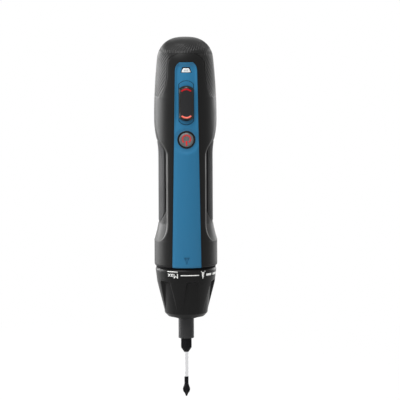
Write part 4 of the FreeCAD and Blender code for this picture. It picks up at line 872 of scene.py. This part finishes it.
def patch_solid(name, rows, high, low, coat, columns=14):
    """A plate on the barrel: rows are (height, half width), high and low lie above its surface."""
    spread = evenly(-1.0, 1.0, columns)
    points = [[on_barrel(half * s, z, high) for s in spread] for z, half in rows]
    return skin(name, points, lambda co: on_barrel(co.x, co.z, low), coat)


def oval_rows(low, top, half, end, count=12):
    """Rows of a track whose ends are arcs of radius end."""
    rise = end - sqrt(end * end - half * half)
    arc = []
    for i in range(count + 1):
        x = half * sin(pi / 2 * max(i, 0.6) / count)
        arc.append((end - sqrt(end * end - x * x), x))
    rows = [(low + h, x) for h, x in arc]
    rows += [(z, half) for z in steps(low + rise, top - rise, 2.0)[1:-1]]
    return rows + [(top - h, x) for h, x in reversed(arc)]


def hollow(start, stop, value):
    """A ramp that starts steep and levels out."""
    return 1 - (1 - share(start, stop, value)) ** 2


def strip_sink(x, z):
    """How far the strip's face lies under the barrel: a tray with a rim, and the dish of the button."""
    from_side = hollow(SIDE_RIM, SIDE_END, across(strip_line, z) - abs(x))
    from_top = hollow(TOP_RIM, TOP_END, STRIP_TOP - z)
    tray = TRAY_DEPTH * min(from_side, from_top) * smooth(TRAY_START, TRAY_FULL, z)
    dish = DISH_DEPTH * max(0.0, 1 - (hypot(x, z - DISH_Z) / DISH_RADIUS) ** 4)
    return STRIP_SINK + tray + dish + hem(z)


strip_columns = [0.0, 0.2, 0.4, 0.58, 0.72, 0.8, 0.84, 0.88, 0.92, 0.955, 0.985, 1.0]
strip_columns = [-c for c in reversed(strip_columns[1:])] + strip_columns
strip_heights = [height for height, _ in HEM] + steps(3.0, 68.0, 1.6) + steps(68.6, 87.0, 0.6)
strip_heights += steps(88.5, 117.0, 1.6) + steps(117.8, 120.6, 0.5)
strip_heights += steps(120.8, STRIP_TOP - STRIP_GAP, 0.16)


def strip_row(z):
    half = across(strip_line, z) - STRIP_GAP
    return [on_barrel(c * half, z, -strip_sink(c * half, z)) for c in strip_columns]


def strip_inner(co):
    return on_barrel(co.x, co.z, STRIP_GAP - BED - hem(co.z))


strip = skin("blue_strip", [strip_row(z) for z in strip_heights], strip_inner, "strip_blue")
track_outline = oval_rows(TRACK_LOW, TRACK_TOP, TRACK_HALF, TRACK_END)
track_cut = patch_solid("track_cut", track_outline, CUT_RISE, -TRACK_DEPTH, "strip_blue")
window_cut = patch_solid("window_cut", WINDOW_CUT, CUT_RISE, -WINDOW_DEPTH, "strip_blue", 6)
button_cut = bored("button_cut", 0.0, BUTTON_Z, BUTTON_RIM, *FRONT_CUT)
arrow_cut = patch_solid("arrow_cut", ARROW_CUT, CUT_RISE, -ARROW_DEPTH, "strip_blue", 4)
carve(strip, track_cut, window_cut, button_cut, arrow_cut)
dress(strip, "housing", "strip_blue", "fascia_strip", soft=STRIP_SOFT, segments=3)
track_rows = oval_rows(TRACK_LOW + TRACK_GAP, TRACK_TOP - TRACK_GAP, TRACK_HALF - TRACK_GAP,
                       TRACK_END - TRACK_GAP)
track_plate = patch_solid("track_plate", track_rows, -TRACK_FLOOR, -TRACK_DEPTH, "strip_blue")
dress(track_plate, "housing", "strip_blue", soft=TRACK_SOFT)

# %% [markdown]
# The charge window is a small lens of white plastic. It stands in its opening with a dark gap
# round it, and three faint bars lie on it. Printed marks like these are thin plates on the
# surface, and one helper makes them all: it takes flat shapes and a rule that puts a flat
# point on the curved surface.

# %% Window
MARK_RISE, MARK_ROOT = 0.03, 0.12
LENS_SINK, LENS_ROOT, LENS_SOFT = 1.12, 1.8, 0.25
LENS_ROWS = [(WINDOW_LOW, 2.85), (WINDOW_LOW + 1.5, 2.3), (WINDOW_TOP - 0.2, 1.62)]
BAR_LOW, BAR_TOP, BAR_WIDE, BAR_PITCH = 119.5, 120.6, 0.45, 0.85


def ribbon(line, width, count=2):
    """Rows across a line of flat points, as wide as the width."""
    rows = []
    for i, (u, v) in enumerate(line):
        a, b = line[max(i - 1, 0)], line[min(i + 1, len(line) - 1)]
        du, dv = b[0] - a[0], b[1] - a[1]
        length = hypot(du, dv)
        offsets = [width * (k / count - 0.5) / length for k in range(count + 1)]
        rows.append([(u - dv * t, v + du * t) for t in offsets])
    return rows


def deeper(co):
    return to_radius(co, hypot(co.x, co.y) - MARK_ROOT)


def plates(name, shapes, place, coat, inner=deeper):
    """Thin plates on a surface. Each shape is rows of flat points, and place lifts a point onto it."""
    bm = bmesh.new()
    for rows in shapes:
        grid(bm, [[place(u, v) for u, v in row] for row in rows])
    thicken(bm, inner)
    return new_object(name, bm, coat)


def on_lens(x, z):
    return on_barrel(x, z, MARK_RISE - LENS_SINK)


lens = patch_solid("charge_lens", LENS_ROWS, -LENS_SINK, -LENS_ROOT, "window_white", 8)
dress(lens, "housing", "window_white", "charge_window", soft=LENS_SOFT, segments=3)
bars = [ribbon([(x, BAR_LOW), (x, BAR_TOP)], BAR_WIDE) for x in (-BAR_PITCH, 0.0, BAR_PITCH)]
charge_bars = plates("charge_bars", bars, on_lens, "mark_grey")
dress(charge_bars, "housing", "window_white")

# %% [markdown]
# The direction knob is a long rocker with a glossy black flank and a matt face that is hollow
# along its length for a firm push. It is built from loops: the same outline, drawn in a little
# at each level, from the foot in the track up to the face.

# %% Direction knob
KNOB_LOW, KNOB_TOP, KNOB_HALF, KNOB_END = 89.6, 110.9, 4.4, 6.3
KNOB_RISE, KNOB_HOLLOW, KNOB_FOOT, KNOB_SOFT = 1.65, 0.6, 0.86, 0.2
KNOB_COLUMNS, ARC_HALF, ARC_WIDE = 10, 2.95, 0.95
knob_middle = (KNOB_LOW + KNOB_TOP) / 2
knob_reach = (KNOB_TOP - KNOB_LOW) / 2


def knob_face(z):
    along = (z - knob_middle) / knob_reach
    return barrel(z) + KNOB_RISE - KNOB_HOLLOW * (1 - along * along)


def knob_points(points, level):
    amount, height = level
    drawn = [(x * (1 - amount / KNOB_HALF), mix(z, knob_middle, amount / knob_reach)) for x, z in points]
    return [(*on_front(height(z), x), z) for x, z in drawn]


knob_rows = [[(x, z) for x in evenly(-half, half, KNOB_COLUMNS)]
             for z, half in oval_rows(KNOB_LOW, KNOB_TOP, KNOB_HALF, KNOB_END)]
outline = knob_rows[0] + [row[-1] for row in knob_rows[1:-1]] + knob_rows[-1][::-1]
outline += [row[0] for row in knob_rows[-2:0:-1]]
# Each level says how far the outline is drawn in and how high it lies.
knob_levels = [(0.0, lambda z: barrel(z) - KNOB_FOOT), (0.0, lambda z: barrel(z) + 0.3),
               (0.1, lambda z: barrel(z) + 0.5), (0.98, lambda z: knob_face(z) - 0.1), (1.12, knob_face)]
bm = bmesh.new()
grid(bm, [knob_points(row, knob_levels[-1]) for row in knob_rows])
for face in bm.faces:
    face.material_index = 1
grid(bm, [knob_points(row, knob_levels[0]) for row in knob_rows])
grid(bm, [knob_points(outline, level) for level in knob_levels], wrap=True)
bmesh.ops.remove_doubles(bm, verts=bm.verts[:], dist=1e-4)
knob = new_object("direction_rocker", bm, "knob_black")
knob.data.materials.append(finish["knob_grey"])
dress(knob, "direction_knob", "knob_grey", "direction_knob", soft=KNOB_SOFT, segments=3)


def on_knob(x, z):
    return (*on_front(knob_face(z) + MARK_RISE, x), z)


for name, ends, middle, colour in (("upper_mark", 107.6, 110.2, "mark_red"),
                                   ("lower_mark", 92.8, 90.65, "mark_salmon")):
    arc = bow((-ARC_HALF, ends), (0.0, middle), (ARC_HALF, ends), 14)
    dress(plates(name, [ribbon(arc, ARC_WIDE)], on_knob, colour), "direction_knob", "knob_grey")

# %% [markdown]
# The power button is a turned grey disc with a hollow face, in a black bezel that follows the
# curve of the strip. Its symbol is the usual broken circle with a bar. The circle is a ring of
# short dashes, which lie in the hollow face.

# %% Power button
ROUND_SIDES = 72
BUTTON_FACE, BUTTON_HOLLOW, HOLLOW_EDGE = 19.1, 0.35, 3.55
BUTTON_SIDE = [(0.8, 17.4), (4.25, 17.4), (4.32, 17.5), (4.32, 18.3), (4.32, 18.45), (4.27, 18.58),
               (4.12, 18.72), (3.78, 18.97), (3.66, 19.05)]
FACE_RADII = (3.55, 3.3, 2.9, 2.4, 1.9, 1.4, 0.8)
BEZEL = [(5.46, -0.5), (5.46, 0.0), (5.34, 0.14), (4.56, 0.14), (4.44, 0.0), (4.44, -0.5)]
SYMBOL_LIFT, SYMBOL_RADIUS, SYMBOL_WIDE = 0.45, 2.4, 0.95
DASHES, DASH_START, DASH_STOP, DASH_GAP = 10, -53.0, 233.0, 4.0
STEM_TOP, STEM_LOW, STEM_WIDE = -0.7, -3.6, 0.85


def button_height(radius):
    return BUTTON_FACE - BUTTON_HOLLOW * max(0.0, 1 - (radius / HOLLOW_EDGE) ** 2)


section = BUTTON_SIDE + [(radius, button_height(radius)) for radius in FACE_RADII]
button_rows = [[(x, -height, z) for x, z in circle(0.0, BUTTON_Z, radius, ROUND_SIDES)]
               for radius, height in section]
button = bar("power_disc", button_rows, "button_grey")
dress(button, "power_button", "button_grey", "power_button")
bezel_rows = [[on_barrel(x, z, lift - strip_sink(x, z))
               for x, z in circle(0.0, BUTTON_Z, radius, ROUND_SIDES)] for radius, lift in BEZEL]
bezel = hoop("button_bezel", [bezel_rows], "knob_black")
dress(bezel, "housing", "shell_black")


def on_button(x, z):
    return (x, -button_height(hypot(x, z)) - MARK_RISE, BUTTON_Z + z)


def into_button(co):
    return co + Vector((0.0, MARK_ROOT, 0.0))


def dash(start, stop):
    return ribbon(sweep(0.0, SYMBOL_LIFT, SYMBOL_RADIUS, SYMBOL_RADIUS, start, stop, 5), SYMBOL_WIDE)


turns = steps(DASH_START, DASH_STOP, (DASH_STOP - DASH_START) / DASHES)
shapes = [dash(start + DASH_GAP, stop - DASH_GAP) for start, stop in zip(turns, turns[1:])]
shapes.append(ribbon([(0.0, z) for z in steps(STEM_TOP, STEM_LOW, 0.5)], STEM_WIDE))
symbol = plates("power_symbol", shapes, on_button, "mark_lit", into_button)
dress(symbol, "power_button", "button_grey")

# %% [markdown]
# The torque ring is a cone with six grip pockets. Each row of its grid goes once round the
# ring and repeats one pocket six times: the land, a rounded edge, a sloping wall, and a floor
# that follows the cone. The pockets are deepest under their slanted roof and run out below.

# %% Torque ring
POCKETS, POCKET_PHASE = 6, radians(11.5)
POCKET_TOP, ROOF_END, POCKET_END = -8.4, -10.1, -27.2
POCKET_DEPTH, WALL_SLOPE, LEAST_WALL, POCKET_SOFT = 2.1, 0.6, 0.3, 0.4
POCKET_HALF = [(22.5, POCKET_END), (12.6, POCKET_TOP)]
RIM = [(17.6, -1.2), (17.9, -1.26), (18.3, -2.05), (18.37, -2.4)]
CONE = [(17.42, -10.0), (17.3, -10.5)]
LOWER_EDGE = [(13.2, -27.0), (12.98, -28.5), (12.9, -28.85), (12.7, -29.15), (10.95, -30.95),
              (10.7, -31.12), (10.0, -31.2)]
BORE = [(9.3, -31.0), (11.6, -27.0), (12.7, -11.5), (14.8, -9.0), (14.9, -1.2)]
ring_line = (RIM + CONE + LOWER_EDGE)[::-1]


def pocket_half_row(radius, z):
    """Half a pocket, from the middle of the land to the middle of the floor, as angle and radius."""
    half = radians(across(POCKET_HALF, z))
    depth = POCKET_DEPTH * share(POCKET_TOP, ROOF_END, z) * share(POCKET_END, ROOF_END, z)
    run = WALL_SLOPE * max(depth, LEAST_WALL) / radius
    soft = POCKET_SOFT / radius
    points = [(angle, radius) for angle in evenly(pi / POCKETS, half + soft, 4)[:-1]]
    points += bow((half + soft, radius), (half, radius), (half - 0.3 * run, radius - 0.3 * depth), 5)
    foot = half - run
    low = radius - depth
    points += bow((foot + 0.25 * run, low + 0.25 * depth), (foot, low), (foot - soft, low), 3)
    return points + [(angle, low) for angle in evenly(foot - soft, 0.0, 5)[1:]]


def ring_row(radius, z):
    half = pocket_half_row(radius, z)
    sector = half + [(-a, r) for a, r in reversed(half[1:-1])]
    centres = [POCKET_PHASE + 2 * pi * i / POCKETS for i in range(POCKETS)]
    return [(*on_round(r, centre + a), z) for centre in centres for a, r in reversed(sector)]


ring_heights = [z for _, z in RIM] + [-4.0, -6.0, -7.6, -8.2] + steps(-8.4, -10.6, 0.2)
ring_heights += steps(-11.2, -26.2, 0.75) + [z for _, z in LOWER_EDGE]
outer_rows = [ring_row(across(ring_line, z), z) for z in ring_heights]
directions = [Vector(point[:2]).normalized() for point in outer_rows[0]]
bore_rows = [[(*(direction * radius), z) for direction in directions] for radius, z in BORE]
ring = hoop("torque_ring_skin", [outer_rows + bore_rows], "ring_black")
dress(ring, "torque_ring", "ring_black", "torque_ring")

# %% [markdown]
# White marks on the ring show the torque: a scale of dashes that grow thicker on their way
# round, the word Max at its strong end, a line for the index and a small screw. The word is a
# text object turned into a mesh, so that its points can be wrapped round the cone like the
# other shapes. It reads with the bit held up, as it would in use on a ceiling.

# %% Ring marks
MARK_TURN, MARK_SHIFT = 18.0, -0.6
DASH_ENDS = [(42.6, 57.0), (62.0, 85.0), (90.0, 116.0), (121.0, 149.0), (154.0, 184.0), (189.0, 221.0),
             (226.0, 260.0)]
DASH_Z, THIN, THICK = -4.5, 1.3, 2.2
INDEX_LINE = (-10.3, 26.2, -4.76, -4.22, -4.76, -4.22)
WORD_LINE = (-2.5, -2.0, -2.7, -2.1)
SCREW_ANGLE = 34.5
SCREW = [(-1.95, -1.6, 1.6), (-2.4, -1.6, 1.6), (-3.05, -0.6, 0.6), (-3.3, -1.1, 0.6), (-3.6, -0.55, 1.1),
         (-3.9, -0.5, 0.5), (-4.15, -1.05, 0.5), (-4.45, -0.5, 1.05), (-4.75, -0.45, 0.45),
         (-5.0, -0.95, 0.45), (-5.3, -0.4, 0.95), (-5.7, -0.4, 0.4), (-6.9, -0.08, 0.08)]
WORD_LEFT, WORD_RIGHT, WORD_LOW, WORD_TOP = -37.4, -15.8, -6.3, -3.5


def on_ring(turn, z):
    """A point on the ring: turn is in millimetres round a circle of MARK_TURN."""
    return (*on_round(across(ring_line, z) + MARK_RISE, (turn + MARK_SHIFT) / MARK_TURN), z)


def along(start, stop, low_start, high_start, low_stop, high_stop):
    """Rows of a bar round the ring between two angles in degrees, which may taper."""
    first, last = radians(start) * MARK_TURN, radians(stop) * MARK_TURN
    turns = steps(first, last, 0.7)
    parts = [(t, (t - first) / (last - first)) for t in turns]
    return [[(t, mix(low_start, low_stop, p)), (t, mix(high_start, high_stop, p))] for t, p in parts]


def thickness(angle):
    return mix(THIN, THICK, (angle - DASH_ENDS[0][0]) / (DASH_ENDS[-1][1] - DASH_ENDS[0][0])) / 2


scale = [along(*INDEX_LINE), along(WORD_LEFT, WORD_RIGHT, *WORD_LINE)]
for a, b in DASH_ENDS:
    first, last = thickness(a), thickness(b)
    scale.append(along(a, b, DASH_Z - first, DASH_Z + first, DASH_Z - last, DASH_Z + last))
screw_turn = radians(SCREW_ANGLE) * MARK_TURN
scale.append([[(screw_turn + left, z), (screw_turn + right, z)] for z, left, right in SCREW])
dress(plates("torque_scale", scale, on_ring, "mark_white"), "torque_ring", "ring_black")

letters = bpy.data.curves.new("word", "FONT")
letters.body = "Max"
letters.resolution_u = 4
holder = put("word", letters)
flat_word = final_mesh(holder)
bpy.data.objects.remove(holder)
bm = bmesh.new()
bm.from_mesh(flat_word)
bmesh.ops.remove_doubles(bm, verts=bm.verts[:], dist=1e-4)
bmesh.ops.subdivide_edges(bm, edges=bm.edges[:], cuts=1)
bmesh.ops.triangulate(bm, faces=bm.faces[:])
low_x, high_x = min(v.co.x for v in bm.verts), max(v.co.x for v in bm.verts)
low_y, high_y = min(v.co.y for v in bm.verts), max(v.co.y for v in bm.verts)
for v in bm.verts:
    angle = mix(WORD_RIGHT, WORD_LEFT, share(low_x, high_x, v.co.x))
    v.co = on_ring(radians(angle) * MARK_TURN, mix(WORD_TOP, WORD_LOW, share(low_y, high_y, v.co.y)))
thicken(bm, deeper)
word = new_object("torque_word", bm, "mark_white")
dress(word, "torque_ring", "ring_black")

# %% [markdown]
# Round parts are lathe work: a half section is turned about the tool's axis. A near-black ring
# of painted shade in the gap at the joint, the nose cap and the spindle are made this way. Their
# edges are rounded in the section itself, so they stay even all round. Only the hexagon socket, a cut,
# needs a bevel.

# %% Nose cap and spindle
GAP_SHADE = [(15.2, -1.1), (17.8, -1.1), (18.0, -0.9), (18.0, 0.6), (15.2, 0.6), (15.2, -1.1)]
NOSE = [(4.95, -30.7), (8.75, -30.7), (8.75, -31.5), (8.2, -31.7), (6.7, -31.75), (6.5, -32.25),
        (4.95, -32.3)]
SPINDLE = [(4.2, -20.0), (4.7, -20.4), (4.7, -44.4), (4.4, -44.7), (3.9, -44.7)]
GAP_SHADE_ROUND, NOSE_ROUND, SPINDLE_ROUND, SPINDLE_SOFT = 0.15, 0.3, 0.2, 0.12
SOCKET, SOCKET_ENDS = 6.45 / sqrt(3), (-46.0, -23.0)


def turned(section):
    angles = evenly(0.0, 2 * pi, ROUND_SIDES)[:-1]
    return [[(*on_round(radius, angle), z) for angle in angles] for radius, z in section]


def lathe(name, sections, coat):
    """One object from closed half sections, each turned about the axis."""
    return hoop(name, [turned(section) for section in sections], coat)


def rounded(section, reach, count=4):
    """A section whose inner corners are softened."""
    out = [section[0]]
    for a, b, c in zip(section, section[1:], section[2:]):
        before = min(0.45, reach / dist(a, b))
        after = min(0.45, reach / dist(b, c))
        start = tuple(mix(q, p, before) for p, q in zip(a, b))
        stop = tuple(mix(q, r, after) for q, r in zip(b, c))
        out += bow(start, b, stop, count)
    return out + [section[-1]]


# Painted shade: a near-black ring in the gap between collar and ring stands for the shadow there and hides
# the lighter case behind it.
gap_shade = lathe("gap_shade_ring", [rounded(GAP_SHADE, GAP_SHADE_ROUND)[:-1]], "gap_shade_black")
dress(gap_shade, "housing", "shell_black")
nose = lathe("nose_cap_turned", [rounded(NOSE, NOSE_ROUND)], "nose_black")
dress(nose, "housing", "nose_black", "nose_cap")
spindle = bar("spindle_turned", turned(rounded(SPINDLE, SPINDLE_ROUND)), "spindle_steel")
hex_corners = [pi * (i + 0.5) / 3 for i in range(6)]
hexagon = [[(SOCKET * cos(a), SOCKET * sin(a), z) for a in hex_corners] for z in SOCKET_ENDS]
carve(spindle, bar("socket_cut", hexagon, "spindle_steel"))
dress(spindle, "spindle", "spindle_steel", "spindle", soft=SPINDLE_SOFT)

# %% [markdown]
# Four disc springs lie mouth to mouth round the spindle and push it out again. Each is a cone
# of sheet steel, turned from a slanted section, and together they fill the box of the frame's spring part.

# %% Push springs
DISCS, DISC_WIDE, DISC_THICK, DISC_GAP, PUSH_TRAVEL = 4, 2.4, 0.4, 0.03, 1.2
stack_low, stack_high = (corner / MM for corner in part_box("push_springs"))
stack_tall = stack_high.z - stack_low.z
disc_step = (stack_tall + DISC_GAP) / DISCS
disc_sections = []
for number in range(DISCS):
    low = stack_low.z + disc_step * number
    high = low + disc_step - DISC_GAP
    rims = (stack_high.x, stack_high.x - DISC_WIDE)
    foot, head = rims if number % 2 else rims[::-1]
    disc_sections.append([(foot, low), (foot, low + DISC_THICK), (head, high), (head, high - DISC_THICK)])
springs = lathe("push_disc_stack", disc_sections, "spring_steel")
dress(springs, "push_carriage", "spring_steel", "push_springs")
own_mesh(springs)
print("disc springs", round(stack_tall, 2), "mm tall, pressed by", PUSH_TRAVEL)

# %% [markdown]
# The bit is one bar that changes its section on the way: a hexagon shank, a short cone, a slim
# round shaft and a cross point with four flutes. Every section is a ring of points whose
# distance from the axis is the least of what each of these shapes allows.

# %% Bit
BIT_COLUMNS = 96
HALF_ACROSS, SHANK_CORNER, SHANK_LOW = 3.175, 3.57, -52.9
BIT_LINE = [(0.35, -80.3), (0.8, -79.8), (1.75, -77.8), (2.12, -76.7), (2.2, -76.0), (2.12, -75.3),
            (1.75, -74.2), (1.35, -73.0), (1.25, -72.5), (1.25, -53.6), (1.4, -53.2), (3.3, -50.4),
            (3.7, -50.0), (3.7, -21.6), (3.3, -20.6)]
FLUTE_RADIUS, FLUTE_OFFSET, FLUTE_TOP = 1.5, 2.3, -74.2
RUN_OUT, RUN_OUT_LOW, RUN_IN, RUN_IN_TOP = 0.55, -76.4, 0.16, -77.0
FLUTE_CORE = 0.3
SILVER_LOW, SILVER_TOP = -67.6, -53.3


def bit_radius(angle, z):
    radius = across(BIT_LINE, z)
    if z > SHANK_LOW:
        flat = (angle + pi / 6) % (pi / 3) - pi / 6
        radius = min(radius, HALF_ACROSS / cos(flat), SHANK_CORNER)
    if z < FLUTE_TOP:
        near = angle % (pi / 2) - pi / 4
        run = FLUTE_OFFSET + RUN_OUT * max(0.0, z - RUN_OUT_LOW) - RUN_IN * max(0.0, RUN_IN_TOP - z)
        off = FLUTE_RADIUS ** 2 - (run * sin(near)) ** 2
        if off > 0:
            radius = min(radius, max(run * cos(near) - sqrt(off), FLUTE_CORE))
    return radius


bit_heights = steps(-80.3, -72.5, 0.26) + steps(-71.0, -54.4, 2.8) + steps(-53.6, -49.6, 0.2)
bit_heights += steps(-47.0, -22.4, 3.0) + [-21.6, -21.1, -20.6]
bit_angles = evenly(0.0, 2 * pi, BIT_COLUMNS)[:-1]
bit_rows = [[(bit_radius(a, z) * cos(a), bit_radius(a, z) * sin(a), z) for a in bit_angles]
            for z in bit_heights]
bit = bar("cross_point_bit", bit_rows, "bit_steel")
bit.data.materials.append(finish["bit_bright"])
for polygon in bit.data.polygons:
    if SILVER_LOW * MM < polygon.center.z < SILVER_TOP * MM:
        polygon.material_index = 1
dress(bit, "bit", "bit_steel", "screwdriver_bit")

# %% [markdown]
# Last comes the floor, a pale disc as far below the point as the bit comes out. To the eye it
# is as white as the room, but part of its colour is real diffuse white, so the tool's soft
# shadow still shows.

# %% Floor
BIT_TRAVEL, FLOOR_GAP = 22.0, 0.4
FLOOR_Z = CAD_BOX[0].z - (BIT_TRAVEL + FLOOR_GAP) * MM
FLOOR_RADIUS, FLOOR_SIDES = 2.2, 96
FLOOR_FINISH = {"Base Color": (0.86, 0.86, 0.86, 1.0), "Roughness": 0.9, "Specular IOR Level": 0.1}
FLOOR_FADE = {"From Min": 0.1, "From Max": 0.5, "To Min": 0.8}
floor_mesh = bpy.data.meshes.new("pale_floor")
bm = bmesh.new()
bmesh.ops.create_circle(bm, cap_ends=True, segments=FLOOR_SIDES, radius=FLOOR_RADIUS)
bm.to_mesh(floor_mesh)
bm.free()
floor = put("pale_floor", floor_mesh)
floor.location.z = FLOOR_Z
pale = bpy.data.materials.new("pale_floor")
pale.use_nodes = True
tree = pale.node_tree
shader = preset(tree.nodes["Principled BSDF"], FLOOR_FINISH)
glow = tree.nodes.new("ShaderNodeEmission")
blend = tree.nodes.new("ShaderNodeMixShader")
place = tree.nodes.new("ShaderNodeTexCoord").outputs["Object"]
reach = tree.nodes.new("ShaderNodeVectorMath")
reach.operation = "LENGTH"
fade = preset(tree.nodes.new("ShaderNodeMapRange"), FLOOR_FADE)
white = calculate(tree, "MULTIPLY", fade.outputs["Result"], seen_white(tree, 0.0))
wire(tree, (place, reach.inputs[0]), (reach.outputs["Value"], fade.inputs["Value"]),
     (white, blend.inputs["Fac"]), (shader.outputs["BSDF"], blend.inputs[1]),
     (glow.outputs[0], blend.inputs[2]),
     (blend.outputs[0], tree.nodes["Material Output"].inputs["Surface"]))
floor_mesh.materials.append(pale)
print("floor at", round(FLOOR_Z / MM, 2), "mm")
